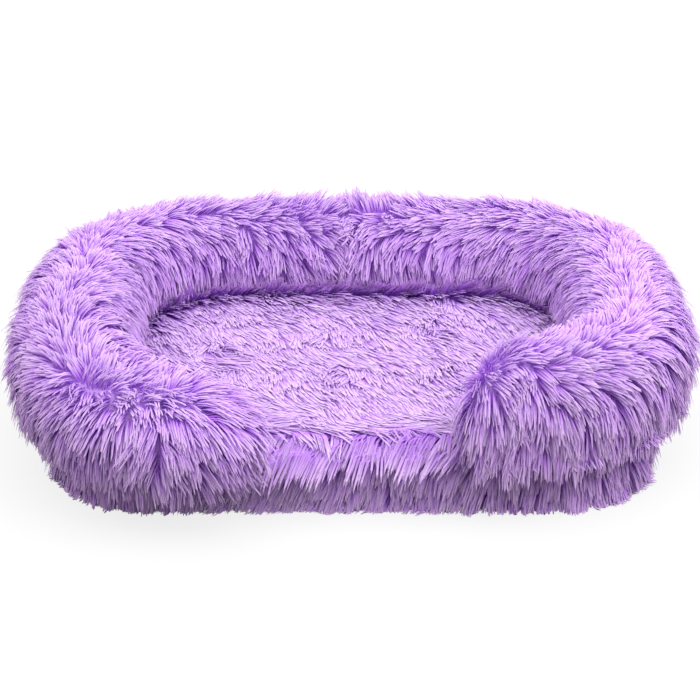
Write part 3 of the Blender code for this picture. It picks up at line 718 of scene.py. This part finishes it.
def bolster_pile(points, normals, line, hem):
    """How the pile grows at points of the bolster: away from the parting, then down. It is shorter in the
    seam with the mattress and deeper in tone there, painted shade in that crease, and thinner underneath."""
    marks, along = line
    height = points[:, 2]
    gaps = points[:, None] - marks[None]
    nearest = np.linalg.norm(gaps, axis=2).argmin(1)
    away = gaps[np.arange(len(points)), nearest]
    away -= normals * (away * normals).sum(1)[:, None]
    size = np.linalg.norm(away, axis=1)
    crown = 1 - smooth_step(size, *PARTING_FADE)
    sweep = -PARTING_SWEEP * crown * np.tanh(points[:, 0] / 0.06)
    flow = away / (size + 0.016)[:, None] + along[nearest] * sweep[:, None]
    ridge = crown * smooth_step(points[:, 1], *RIDGE_FADE)
    under = smooth_step(-normals[:, 2], 0.2, 0.8)
    seam = (1 - smooth_step(height, *SEAM_FADE)) * (depth_inside(points[:, :2], BOLSTER) > 0.01)
    reach = (BOLSTER_REACH - PARTING_CUT * crown) * (1 - 0.45 * seam)
    reach = np.clip(np.minimum(reach, (height - hem + 0.018) * 1.1), 0.010, None)
    seat = (normals[:, 2] < -0.9) & (height < SEAT_BACKING + 0.004)
    outer_back = points[:, 1] > 0.225
    cover = np.where(seat, 0.0, np.where(outer_back, 0.8, 1.0)) * (1 - 0.5 * under)
    # In the seam with the mattress the pile takes the deeper colours: painted shade in the crease.
    return {"outward": normals, "flow": flow, "reach": reach, "lift": 0.44 + 0.41 * crown + 0.4 * ridge,
            "droop": 0.60 - 0.45 * crown, "cover": cover, "pale": -0.05 - 0.3 * seam}


def raggedness(points):
    """Uneven growth along the edge of the boxing, from 0 to 1."""
    x = points[:, 0] + 0.7 * points[:, 1]
    return 0.5 + 0.5 * np.sin(430 * x + 2.1 * np.sin(151 * x) + 90 * points[:, 2])


def top_pile(points, normals):
    """How the pile grows on the flat top: over to the front right, along the front seam, and
    in a ragged fringe over the edge. It stands up beside the bolster, and has none under it."""
    x, y, z = points.T
    front = smooth_step(-y, *FRONT_FADE)[:, None]
    flow = TOP_WAY * (1 - front) + FRONT_WAY * front
    rim = smooth_step(MATTRESS_TOP - BACKING_DEPTH - z, 0.0001, 0.003)
    fringe = np.maximum(rim, smooth_step(-y, *FRINGE_FADE))
    for swirl_x, swirl_y, size, turn in SWIRLS:
        gap = points[:, :2] - (swirl_x, swirl_y)
        near = np.exp(-(gap ** 2).sum(1) / size ** 2) * turn / size
        flow = flow + np.stack([-gap[:, 1] * near, gap[:, 0] * near, 0 * near], 1)
    flow = flow * (1 - fringe[:, None]) + FRINGE_WAY * fringe[:, None]
    inside = depth_inside(points[:, :2], BOLSTER)
    beside = (1 - smooth_step(inside, *BESIDE_FADE)) * (1 - smooth_step(-y, *ARM_FADE))
    entry = (y < -0.05) & (x > -0.17) & (x < 0.20)
    # The top's pile is paler than the bolster's: painted light that makes up for the shade of the hollow it
    # lies in. In its fringe it drops to about the boxing's tone, and beside the bolster it is deeper:
    # painted shade where the bolster shades it.
    return {"outward": normals, "flow": flow,
            "reach": TOP_REACH + fringe * (FRINGE_RAG[1] * raggedness(points) + FRINGE_RAG[0]),
            "lift": 0.18 + 0.55 * fringe + 0.3 * beside, "droop": 1.4 * fringe,
            "cover": np.where((inside > 0.030) | entry, 1.0, 0.0),
            "pale": 0.38 - 0.40 * fringe - 0.1 * beside}


def band_pile(points, normals):
    """How the pile grows on the boxing: from the top seam to the floor, swept to the left in
    the middle of the front, and short and flat beside the zip."""
    x, y, z = points.T
    middle = smooth_step(-y, *FACE_FADE) * (1 - smooth_step(np.abs(x), *MIDDLE_FADE))
    falling = BAND_WAY + middle[:, None] * BAND_SWEEP
    away = smooth_step(np.abs(x), *ZIP_FADE)
    back = y > FACE_FADE[0]
    lying = ZIP_WAY * (1 - away)[:, None] + falling * away[:, None]
    low = 1 - smooth_step(z, *HEM_FADE)
    reach = np.minimum(BAND_RAG[0] + BAND_RAG[1] * raggedness(points), 0.020 + z)
    short = back * (1 - away)
    # The pile is paler in the middle of the front and darker towards the hem: painted shade near the floor.
    return {"outward": normals, "flow": np.where(back[:, None], lying, falling),
            "reach": np.where(back, ZIP_REACH * (1 - away) + reach * away, reach),
            "lift": 0.85 - 0.55 * short + 0.45 * low * (1 - short),
            "droop": (1.1 - 0.8 * low) * (1 - short), "cover": np.ones(len(points)),
            "pale": 0.16 * middle - 0.08 - 0.25 * low}


def bolster_skins():
    """Each bolster piece's name and the skin its pile grows on."""
    runs = (("bolster_back_cover", -MITRE, MITRE), ("bolster_left_cover", ARM_ENDS[0], -MITRE),
            ("bolster_right_cover", MITRE, ARM_ENDS[1]))
    for name, start, end in runs:
        stations = bolster_stations(start, end)
        place, _ = rounded_path(BOLSTER, stations)
        heart = np.concatenate([place, np.full((len(place), 1), SIDE_SIZE[4])], 1)
        yield name, Skin(bolster_sections(stations, BACKING_DEPTH), True, heart)
    for side, end, size in zip(("left", "right"), ARM_ENDS, TIP_SIZES):
        rings, pole = dome_sections(end, BACKING_DEPTH)
        place, _ = rounded_path(BOLSTER, np.array([end]))
        yield f"bolster_{side}_tip", Skin(rings, True, (*place[0], size[4]), pole)


def mattress_ring(inset, height):
    """A level outline of the mattress moved in by inset, with even steps along it."""
    half = (MATTRESS.half[0] - inset, MATTRESS.half[1] - inset)
    line = Outline(half, MATTRESS.back_radius - inset, MATTRESS.front_radius - inset)
    marks = path_marks(line)
    spans = [np.linspace(low, high, steps, endpoint=False)
             for low, high, steps in zip(marks, marks[1:], (16, 10, 16, 10, 16))]
    right = np.concatenate(spans + [[marks[-1]]])
    distance = np.concatenate([right, -right[-2:0:-1]])
    place, _ = rounded_path(line, distance)
    return np.concatenate([place, np.full((len(place), 1), height)], 1)


def top_skin():
    """The flat top, lifted in the opening and clear of the bolster."""
    base = MATTRESS_TOP - BACKING_DEPTH
    rings = [mattress_ring(0.0185, 0.0662), mattress_ring(0.023, 0.0702), mattress_ring(0.030, base)]
    outer = rings[-1]
    for share in np.linspace(0.97, 0.05, 30):
        ring = outer * (share, share, 1)
        rise = MATTRESS_CROWN * (1 - smooth_step(share, 0.15, 0.75))
        rise = rise + BACK_RISE * smooth_step(ring[:, 1], 0.0, 0.14)
        entry = smooth_step(-ring[:, 1], 0.05, 0.10) * (1 - smooth_step(np.abs(ring[:, 0]), 0.10, 0.15))
        clear = np.maximum(smooth_step(depth_inside(ring[:, :2], BOLSTER), 0.030, 0.056), entry)
        rings.append(ring + np.outer((rise + TOP_LIFT) * clear, (0, 0, 1)))
    return Skin(rings, True, (0, 0, 0), np.array([0, 0, base + TOP_LIFT + MATTRESS_CROWN]))


def band_skin(distances, low, high):
    """A strip of boxing between two heights, which may change along it. Its edges turn in."""
    place, normal = rounded_path(MATTRESS, distances)
    shares = np.linspace(0, 1, 9)
    height = np.broadcast_to(low, len(place))[:, None] * (1 - shares) + high * shares
    inset = BACKING_DEPTH + 0.0015 * (1 - smooth_step(height, 0.0025, 0.010))
    inset = inset + 0.0020 * smooth_step(height, 0.056, 0.0655)
    spot = place[:, None] - normal[:, None] * inset[..., None]
    return Skin(np.concatenate([spot, height[..., None]], -1), False, (0, 0, 0.03))


def mattress_skins():
    """Each plush piece of the mattress and the skin its pile grows on."""
    low, high = BAND_HEIGHTS
    marks = path_marks(MATTRESS)
    back_seam = (marks[1] + marks[2]) / 2
    front_seam = (marks[3] + marks[4]) / 2
    yield "mattress_top_panel", top_skin()
    front = np.linspace(front_seam, marks[-1], 36)
    front = np.concatenate([front, -front[-2::-1]])
    yield "mattress_front_band", band_skin(front, low, high)
    side = np.linspace(back_seam, front_seam, 50)
    yield "mattress_right_band", band_skin(side, low, high)
    yield "mattress_left_band", band_skin(-side, low, high)
    back = np.linspace(-back_seam, back_seam, 91)
    slot = 0.0095 * (1 - smooth_step(np.abs(back), 0.200, 0.2125)) + 0.0002
    yield "mattress_back_band_lower", band_skin(back, low, ZIP_HEIGHT - slot[:, None])
    yield "mattress_back_band_upper", band_skin(back, ZIP_HEIGHT + slot, high)


def lay_plush(name, skin, grow, tree, strands, finishes, settings):
    """The knitted backing of one plush piece, and its pile in objects of a workable size."""
    flat = "top_panel" in name
    whole = skin.mesh(name)
    fields = grow(read_vectors(whole.vertices, "co"), read_vectors(whole.vertex_normals, "vector"))
    backing = add_piece(f"{name}_backing", whole, finishes["backing"], name)
    wall = backing.modifiers.new("Wall", "SOLIDIFY")
    wall.thickness = BACKING_WALL
    wall.offset = -1
    wall.use_even_offset = False

    write_fields(whole, fields)
    skin_object = bpy.data.objects.new("skin", whole)
    spacing = settings.strand_spacing * (LYING_SPACING if flat else 1.0)
    values = {"Strand": strands[flat], "Finish": finishes["plush"], "Skin": skin_object,
              "Seed": 7 * len(name), "Strand spacing": spacing,
              "Lock spacing": settings.lock_spacing, "Tuft spacing": settings.tuft_spacing,
              "Strand half width": settings.strand_half_width * (LYING_WIDTH if flat else 1.0),
              **(LYING_PILE if flat else HANGING_PILE)}
    if "back_cover" in name:
        values["Lock stray"] = BACK_LOCK_STRAY
    cuts = skin.cuts(fields["cover"], settings.pile_fullness / spacing ** 2)
    for part, (first, last) in enumerate(zip(cuts, cuts[1:])):
        label = f"{name}_pile_{part + 1}"
        patch = skin.mesh(label, first, last)
        write_fields(patch, fields, first * skin.rows.shape[1])
        made = grown_mesh(label, patch, tree, {**values, "Part": 3 + part})
        for left in (*PILE_VECTORS, *PILE_NUMBERS, "id"):
            if left in made.attributes:
                made.attributes.remove(made.attributes[left])
        made.shade_flat()
        add_piece(label, made, None, name)
    bpy.data.objects.remove(skin_object)
    for field in fields:
        whole.attributes.remove(whole.attributes[field])


def outward_mesh(name, points, faces):
    """A smooth closed mesh with its faces turned outwards."""
    mesh = bpy.data.meshes.new(name)
    mesh.from_pydata(points.tolist(), [], faces)
    solid = bmesh.new()
    solid.from_mesh(mesh)
    bmesh.ops.recalc_face_normals(solid, faces=solid.faces)
    solid.to_mesh(mesh)
    solid.free()
    mesh.shade_smooth()
    return mesh


def closed_mesh(name, rings, poles):
    """A closed skin over rings of points, with a fan of faces at each end."""
    rings = np.array(rings, float)
    count = rings.shape[1]
    points = np.vstack([rings.reshape(-1, 3), *poles])
    near = np.arange(len(rings) * count).reshape(len(rings), count)
    far = np.roll(near, -1, 1)
    faces = np.stack([near[:-1], far[:-1], far[1:], near[1:]], -1).reshape(-1, 4).tolist()
    faces += [(b, a, len(points) - 2) for a, b in zip(near[0].tolist(), far[0].tolist())]
    faces += [(a, b, len(points) - 1) for a, b in zip(near[-1].tolist(), far[-1].tolist())]
    return outward_mesh(name, points, faces)


def slab_mesh(name, levels, back=1.0, crown=0.0):
    """A slab with the mattress's outline, from levels of inset and height. Its back may be
    cut straight, and its top may rise towards the middle."""
    rings = [mattress_ring(inset, height) for inset, height in levels]
    rings += [rings[-1] * (share, share, 1) + (0, 0, crown * (1 - share)) for share in (0.9, 0.7, 0.4)]
    rings = np.array(rings)
    rings[..., 1] = np.minimum(rings[..., 1], back)
    return closed_mesh(name, rings, [(0, 0, levels[0][1]), (0, 0, levels[-1][1] + crown)])


def fill_mesh(name, start, end, dome):
    """The loose fibre that fills one length of the bolster."""
    floor_depth = FILL_FLOOR - SEAT_BACKING
    rings = bolster_sections(bolster_stations(start, end), FILL_DEPTH, floor_depth)
    poles = [rings[0].mean(0), rings[-1].mean(0)]
    if dome:
        caps, tip = dome_sections(end, FILL_DEPTH, floor_depth)
        rings = np.concatenate([rings, caps[1:]])
        poles[1] = tip
    rings[..., 2] = np.maximum(rings[..., 2], FILL_FLOOR)
    return closed_mesh(name, rings, poles)


def dot_tree():
    """Geometry Nodes that set dots in a staggered grid on the floor, under the target."""
    tree, given = open_tree("Grip dots", (
        ("Dot", "Object"), ("Target", "Object"), ("Finish", "Material"), ("Spacing", "Float"),
        ("Width", "Float")))
    area = add_node(tree, "GeometryNodeObjectInfo", {"Object": given["Target"]}, "Geometry")
    width = given["Width"]
    count = add_node(tree, "ShaderNodeMath", {0: width, 1: given["Spacing"]}, operation="DIVIDE")
    grid = add_node(tree, "GeometryNodeMeshGrid", {
        "Size X": width, "Size Y": width, "Vertices X": count, "Vertices Y": count}, "Mesh")
    grid = add_node(tree, "GeometryNodeTransform", {"Geometry": grid, "Rotation": (0, 0, math.pi / 4)})
    under = add_node(tree, "GeometryNodeRaycast", {
        "Target Geometry": area, "Ray Direction": (0, 0, 1), "Ray Length": 0.1}, "Is Hit")
    return close_tree(tree, lay_copies(tree, grid, given["Dot"], Selection=under), given["Finish"])


def coil_tree():
    """Geometry Nodes that set the turns of a zip coil in a row."""
    tree, given = open_tree("Zip coil", (
        ("Turn", "Object"), ("Finish", "Material"), ("Count", "Int"), ("Pitch", "Float"),
        ("Start", "Float")))
    start, step = [add_node(tree, "ShaderNodeCombineXYZ", {"X": given[name]})
                   for name in ("Start", "Pitch")]
    row = add_node(tree, "GeometryNodeMeshLine", {
        "Count": given["Count"], "Start Location": start, "Offset": step})
    return close_tree(tree, lay_copies(tree, row, given["Turn"]), given["Finish"])


def grown_mesh(name, start, tree, values):
    """The plain mesh that a Geometry Nodes tree makes of a mesh, with its inputs set."""
    grower = bpy.data.objects.new(name, start)
    bpy.context.scene.collection.objects.link(grower)
    modifier = grower.modifiers.new("Nodes", "NODES")
    modifier.node_group = tree
    for key, value in values.items():
        modifier[tree.interface.items_tree[key].identifier] = value
    graph = bpy.context.evaluated_depsgraph_get()
    made = bpy.data.meshes.new_from_object(grower.evaluated_get(graph),
                                           preserve_all_data_layers=True, depsgraph=graph)
    bpy.data.objects.remove(grower)
    made.name = name
    return made


def dot_mesh(radius, height):
    """A low rounded dot of moulded rubber, resting on the floor."""
    turns = np.linspace(0, 2 * math.pi, 8, endpoint=False)
    circle = np.stack([np.cos(turns), np.sin(turns), np.zeros(8)], 1)
    rings = [circle * (radius * share, radius * share, 1) + (0, 0, height * rise)
             for share, rise in ((1.0, 1.0), (0.92, 0.45), (0.62, 0.08))]
    return closed_mesh("dot", rings, [(0, 0, height), (0, 0, 0)])


def coil_turn_mesh(low, high, wire):
    """One closed turn of coil wire that fills a box in y and z and leans along x."""
    middle = [(a + b) / 2 for a, b in zip(low, high)]
    reach = [(b - a) / 2 - wire for a, b in zip(low, high)]
    side = np.array([1.0, 0, 0])
    rings = []
    for turn in np.linspace(0, 2 * math.pi, 8, endpoint=False):
        spot = np.array([wire * 0.9 * math.sin(turn), reach[0] * math.sin(turn), reach[1] * math.cos(turn)])
        out = np.array([0, math.sin(turn), math.cos(turn)])
        rings.append([spot + (0, *middle) + wire * (out * math.cos(a) + side * math.sin(a))
                      for a in np.linspace(0, 2 * math.pi, 4, endpoint=False)])
    near = np.arange(32).reshape(8, 4)
    over, far = np.roll(near, -1, 0), np.roll(near, -1, 1)
    faces = np.stack([near, far, np.roll(over, -1, 1), over], -1).reshape(-1, 4)
    return outward_mesh("coil_turn", np.array(rings).reshape(-1, 3), faces.tolist())


def tape_mesh(name, low, high, meeting):
    """A woven zip tape with rounded edges, as tall and thick as its box. Beyond the stops it
    comes up to its neighbour, at the height where they meet."""
    soft = (high[1] - low[1]) / 3
    rings = []
    for x in np.linspace(low[0], high[0], 80):
        closed = smooth_step(abs(x), *TAPE_ENDS)
        bottom, top = low[2], high[2]
        if top < meeting:
            top += (meeting - top) * closed
        else:
            bottom -= (bottom - meeting) * closed
        rings.append([(x, low[1], bottom + soft), (x, low[1], top - soft), (x, low[1] + soft, top),
                      (x, high[1] - soft, top), (x, high[1], top - soft), (x, high[1], bottom + soft),
                      (x, high[1] - soft, bottom), (x, low[1] + soft, bottom)])
    middle = [(low[axis] + high[axis]) / 2 for axis in (1, 2)]
    return closed_mesh(name, rings, [(low[0], *middle), (high[0], *middle)])


def length_setting(name, description, default, low, high):
    return FloatProperty(name=name, description=description, default=default, min=low, max=high,
                         subtype="DISTANCE", unit="LENGTH")


def colour_setting(name, description, code):
    return FloatVectorProperty(name=name, description=description, default=linear(code), size=3,
                               min=0, max=1, subtype="COLOR")


class PileSettings(bpy.types.PropertyGroup):
    strand_spacing: length_setting(
        "Strand spacing", "Least distance between two strands' roots", 0.0022, 0.001, 0.01)
    lock_spacing: length_setting(
        "Lock spacing", "Least distance between two locks", 0.0085, 0.003, 0.03)
    tuft_spacing: length_setting(
        "Tuft spacing", "Least distance between two tufts of locks", 0.024, 0.01, 0.1)
    strand_half_width: length_setting(
        "Strand half width", "Half the width of a strand at its widest", 0.0009, 0.0002, 0.003)
    pile_fullness: FloatProperty(
        name="Fullness", description="Strands set in a square of the spacing, on average",
        default=0.66, min=0.1, max=1.0)


class BaseSettings(bpy.types.PropertyGroup):
    dot_spacing: length_setting(
        "Dot spacing", "Step of the staggered grid of rubber dots", 0.016, 0.005, 0.05)
    dot_radius: length_setting("Dot radius", "Radius of one rubber dot", 0.002, 0.0005, 0.01)
    dot_height: length_setting(
        "Dot height", "How far the dots hold the cloth off the floor", 0.0008, 0.0002, 0.003)
    coil_pitch: length_setting(
        "Coil pitch", "Step between two turns of a zip coil", 0.0015, 0.0005, 0.005)


class ColourSettings(bpy.types.PropertyGroup):
    # Strands run from their root colour to their tip colour: the darker, more saturated roots are painted
    # shade deep in the pile.
    deep_root: colour_setting("Deep root", "Strand roots in the deepest locks", "#ac5ce8")
    deep_tip: colour_setting("Deep tip", "Strand tips in the deepest locks", "#e1b4f9")
    pale_root: colour_setting("Pale root", "Strand roots in the palest locks", "#c884f4")
    pale_tip: colour_setting("Pale tip", "Strand tips in the palest locks", "#f0d4fc")
    # The backing is pale: it stands in for underfur and lightens the shade between the strands, partly
    # painted light.
    backing: colour_setting("Backing", "Knitted side of the plush", "#d8a6fa")
    fibre: colour_setting("Fibre", "Loose fibre and wadding", "#f6f6f2")
    foam: colour_setting("Foam", "Foam core", "#e8dca4")
    grip_fabric: colour_setting("Grip fabric", "Cloth of the bottom panel", "#565060")
    rubber: colour_setting("Rubber", "Dots under the bottom panel", "#38363c")
    zip_tape: colour_setting("Zip tape", "Woven tapes of the zip", "#a878cc")
    zip_coil: colour_setting("Zip coil", "Coils of the zip", "#ac7cd0")
    metal: colour_setting("Metal", "Slider, pull and stops", "#d4d0c8")


class StageSettings(bpy.types.PropertyGroup):
    lens: FloatProperty(
        name="Lens", description="Focal length on a 36 mm wide sensor", default=128.4,
        min=20, max=300, subtype="DISTANCE_CAMERA")
    distance: length_setting(
        "Distance", "From the camera to the middle of the bed", 2.894, 0.5, 20)
    elevation: FloatProperty(
        name="Elevation", description="The camera's angle above the horizon",
        default=math.radians(24.04), min=0, max=1.5, subtype="ANGLE", unit="ROTATION")


SETTINGS = {"petbed_pile": PileSettings, "petbed_base": BaseSettings,
            "petbed_colours": ColourSettings, "petbed_stage": StageSettings}


class PETBED_OT_plush(bpy.types.Operator):
    """Build the knitted backing and the long pile of the bolster and the mattress"""
    bl_idname = "petbed.plush"
    bl_label = "Plush"

    def execute(self, context):
        dye = context.scene.petbed_colours
        finishes = {"plush": plush_material(dye), "backing": grain_material(dye, "backing")}
        strands = [bpy.data.objects.new("strand", strand_mesh(*shape))
                   for shape in (HANGING_STRAND, LYING_STRAND)]
        line = crown_line()
        pieces = [(name, skin, partial(bolster_pile, line=line, hem=skin.hems()))
                  for name, skin in bolster_skins()]
        pieces += [(name, skin, band_pile if skin.pole is None else top_pile)
                   for name, skin in mattress_skins()]
        tree = pile_tree()
        for piece in pieces:
            lay_plush(*piece, tree, strands, finishes, context.scene.petbed_pile)
        for strand in strands:
            bpy.data.objects.remove(strand)
        return {"FINISHED"}


class PETBED_OT_filling(bpy.types.Operator):
    """Build the bolster's loose fibre, the foam core and the wadding over it"""
    bl_idname = "petbed.filling"
    bl_label = "Filling"

    def execute(self, context):
        fibre, foam, wadding = [grain_material(context.scene.petbed_colours, finish)
                                for finish in ("fibre", "foam", "wadding")]
        fills = (("back", FILL_GAP - MITRE, MITRE - FILL_GAP, False),
                 ("left", -MITRE - FILL_GAP, ARM_ENDS[0], True),
                 ("right", MITRE + FILL_GAP, ARM_ENDS[1], True))
        for side, *run in fills:
            name = f"bolster_{side}_fill"
            add_piece(f"{name}_fibre", fill_mesh(name, *run), fibre, name)
        low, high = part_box("mattress_foam_core")
        inset = MATTRESS.half[0] - high[0]
        core = slab_mesh("foam_core", ((inset + 0.002, low[2]), (inset, low[2] + 0.002),
                                       (inset, high[2] - 0.002), (inset + 0.002, high[2])), high[1])
        add_piece("mattress_foam_slab", core, foam, "mattress_foam_core")
        low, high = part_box("mattress_wadding")
        layer = slab_mesh("wadding", ((inset + 0.003, low[2]), (inset + 0.0015, low[2] + 0.004),
                                      (inset + 0.006, high[2] - 0.001)), crown=0.005)
        add_piece("mattress_wadding_layer", layer, wadding, "mattress_wadding")
        return {"FINISHED"}


class PETBED_OT_base(bpy.types.Operator):
    """Build the bottom panel of grip fabric and the rubber dots on it"""
    bl_idname = "petbed.base"
    bl_label = "Base"

    def execute(self, context):
        settings = context.scene.petbed_base
        cloth, rubber = [grain_material(context.scene.petbed_colours, finish)
                         for finish in ("grip_fabric", "rubber")]
        rise = settings.dot_height
        panel = slab_mesh("panel", ((PANEL_INSET, rise), (PANEL_INSET, rise + 0.0012)))
        add_piece("bottom_panel_cloth", panel, cloth, "mattress_bottom_panel")
        inset = PANEL_INSET + 0.006
        area = bpy.data.objects.new("dot area", slab_mesh("area", ((inset, rise), (inset, rise + 0.001))))
        dot = bpy.data.objects.new("dot", dot_mesh(settings.dot_radius, rise))
        made = grown_mesh("grip_dots", bpy.data.meshes.new("dots"), dot_tree(), {
            "Dot": dot, "Target": area, "Finish": rubber, "Spacing": settings.dot_spacing,
            "Width": 2.2 * MATTRESS.half[0]})
        for helper in (area, dot):
            bpy.data.objects.remove(helper)
        add_piece("grip_dots", made, None, "mattress_bottom_panel")
        return {"FINISHED"}


class PETBED_OT_zip(bpy.types.Operator):
    """Build the zip's woven tapes and coils, and finish its metal pieces"""
    bl_idname = "petbed.zip"
    bl_label = "Zip"

    def execute(self, context):
        pitch = context.scene.petbed_base.coil_pitch
        tape, nylon, nickel = [grain_material(context.scene.petbed_colours, finish)
                               for finish in ("zip_tape", "zip_coil", "metal")]
        tree = coil_tree()
        meeting = (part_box("zip_tape_lower")[1][2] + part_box("zip_tape_upper")[0][2]) / 2
        for row, side in enumerate(("lower", "upper")):
            name = f"zip_tape_{side}"
            woven = tape_mesh(name, *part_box(name), meeting)
            add_piece(f"{name}_woven", woven, tape, name)
            name = f"zip_coil_{side}"
            low, high = [list(corner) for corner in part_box(name)]
            (high, low)[row][2] += (COIL_OVERLAP, -COIL_OVERLAP)[row]
            turn = bpy.data.objects.new("coil turn", coil_turn_mesh(low[1:], high[1:], COIL_WIRE))
            made = grown_mesh(name, bpy.data.meshes.new("coil"), tree, {
                "Turn": turn, "Finish": nylon, "Count": int((high[0] - low[0]) / pitch) - 1,
                "Pitch": pitch, "Start": low[0] + pitch * (0.5 + 0.5 * row)})
            bpy.data.objects.remove(turn)
            add_piece(f"{name}_turns", made, None, name)
        for name in ("zip_slider", "zip_pull", "zip_bottom_stop", "zip_top_stop_upper",
                     "zip_top_stop_lower"):
            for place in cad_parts[name].material_slots:
                place.material = nickel
        return {"FINISHED"}


def look_from(thing, place, target):
    thing.location = place
    thing.rotation_mode = "QUATERNION"
    thing.rotation_quaternion = (Vector(target) - Vector(place)).to_track_quat("-Z", "Y")


def show_white(tree, plain, white, share, end):
    """Show white to the camera and in gloss and glass, and the plain shader to other light."""
    path = add_node(tree, "ShaderNodeLightPath", out=None)
    shown = path["Is Camera Ray"]
    for ray in ("Is Glossy Ray", "Is Transmission Ray"):
        shown = add_node(tree, "ShaderNodeMath", {0: shown, 1: path[ray]}, operation="MAXIMUM")
    shown = add_node(tree, "ShaderNodeMath", {0: shown, 1: share}, operation="MULTIPLY")
    seen = add_node(tree, white, {"Color": (1, 1, 1, 1), "Strength": 1.0})
    mixed = add_node(tree, "ShaderNodeMixShader", {0: shown, 1: plain, 2: seen})
    tree.links.new(mixed, tree.nodes[end].inputs["Surface"])


class PETBED_OT_stage(bpy.types.Operator):
    """Build the floor, the soft lights, the white surroundings and the camera"""
    bl_idname = "petbed.stage"
    bl_label = "Stage"

    def execute(self, context):
        settings = context.scene.petbed_stage
        scene = context.scene
        scene.view_settings.view_transform = "Standard"
        camera = bpy.data.objects.new("camera", bpy.data.cameras.new("camera"))
        scene.collection.objects.link(camera)
        camera.data.lens = settings.lens
        camera.data.sensor_width = 36.0
        target = Vector(VIEW_TARGET)
        back = Vector((0, -math.cos(settings.elevation), math.sin(settings.elevation)))
        look_from(camera, target + back * settings.distance, target)
        scene.camera = camera

        # The paper is dark to the light that it sends on to the bed, and shows its shadow
        mesh = bpy.data.meshes.new("floor")
        corners = [(x * FLOOR_HALF, y * FLOOR_HALF, 0) for x, y in ((-1, -1), (1, -1), (1, 1), (-1, 1))]
        mesh.from_pydata(corners, [], [(0, 1, 2, 3)])
        floor = bpy.data.objects.new("floor", mesh)
        scene.collection.objects.link(floor)
        material, tree, inputs = new_material("White paper floor", 0.9)
        seen = add_node(tree, "ShaderNodeLightPath", out="Is Camera Ray")
        tone = add_node(tree, "ShaderNodeMapRange", {
            "Value": seen, "To Min": FLOOR_TONES[0], "To Max": FLOOR_TONES[1]})
        tree.links.new(tone, inputs["Base Color"])
        show_white(tree, tree.nodes["Principled BSDF"].outputs[0], "ShaderNodeEmission", FLOOR_WHITE,
                   "Material Output")
        mesh.materials.append(material)
        floor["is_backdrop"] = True

        world = bpy.data.worlds.new("White surroundings")
        scene.world = world
        world.use_nodes = True
        tree = world.node_tree
        sky = tree.nodes["Background"]
        sky.inputs["Color"].default_value = (1, 1, 1, 1)
        way = add_node(tree, "ShaderNodeTexCoord", out="Generated")
        height = add_node(tree, "ShaderNodeSeparateXYZ", {0: way}, "Z")
        strength = add_node(tree, "ShaderNodeMapRange", {
            "Value": height, "To Min": SKY_RANGE[0], "To Max": SKY_RANGE[1]})
        tree.links.new(strength, sky.inputs["Strength"])
        show_white(tree, sky.outputs[0], "ShaderNodeBackground", 1.0, "World Output")

        lamp = bpy.data.lights.new("soft box", "AREA")
        lamp.shape = "RECTANGLE"
        lamp.size, lamp.size_y = LAMP_SIZES
        lamp.energy = LAMP_POWER
        light = bpy.data.objects.new("soft box", lamp)
        scene.collection.objects.link(light)
        look_from(light, LAMP_PLACE, LAMP_AIM)
        return {"FINISHED"}


class PETBED_PT_panel(bpy.types.Panel):
    """Lists the pieces of the pet bed"""
    bl_idname = "PETBED_PT_panel"
    bl_label = "Plush pet bed"
    bl_space_type = "VIEW_3D"
    bl_region_type = "UI"
    bl_category = "Pet bed"

    def draw(self, context):
        for operator in OPERATORS:
            self.layout.operator(operator.bl_idname)
        for group, kind in SETTINGS.items():
            box = self.layout.box()
            for name in kind.__annotations__:
                box.prop(getattr(context.scene, group), name)


OPERATORS = (PETBED_OT_plush, PETBED_OT_filling, PETBED_OT_base, PETBED_OT_zip, PETBED_OT_stage)
CLASSES = (*SETTINGS.values(), *OPERATORS, PETBED_PT_panel)


def register():
    for kind in CLASSES:
        bpy.utils.register_class(kind)
    for name, kind in SETTINGS.items():
        setattr(bpy.types.Scene, name, PointerProperty(type=kind))


def unregister():
    for name in SETTINGS:
        delattr(bpy.types.Scene, name)
    for kind in reversed(CLASSES):
        bpy.utils.unregister_class(kind)


def main():
    register()
    bpy.ops.petbed.plush()
    bpy.ops.petbed.filling()
    bpy.ops.petbed.base()
    bpy.ops.petbed.zip()
    bpy.ops.petbed.stage()
    boxes = {"cad": cad_box, "visual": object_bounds()}
    boxes = {name: [list(corner) for corner in corners] for name, corners in boxes.items()}


if __name__ == "__main__":
    main()
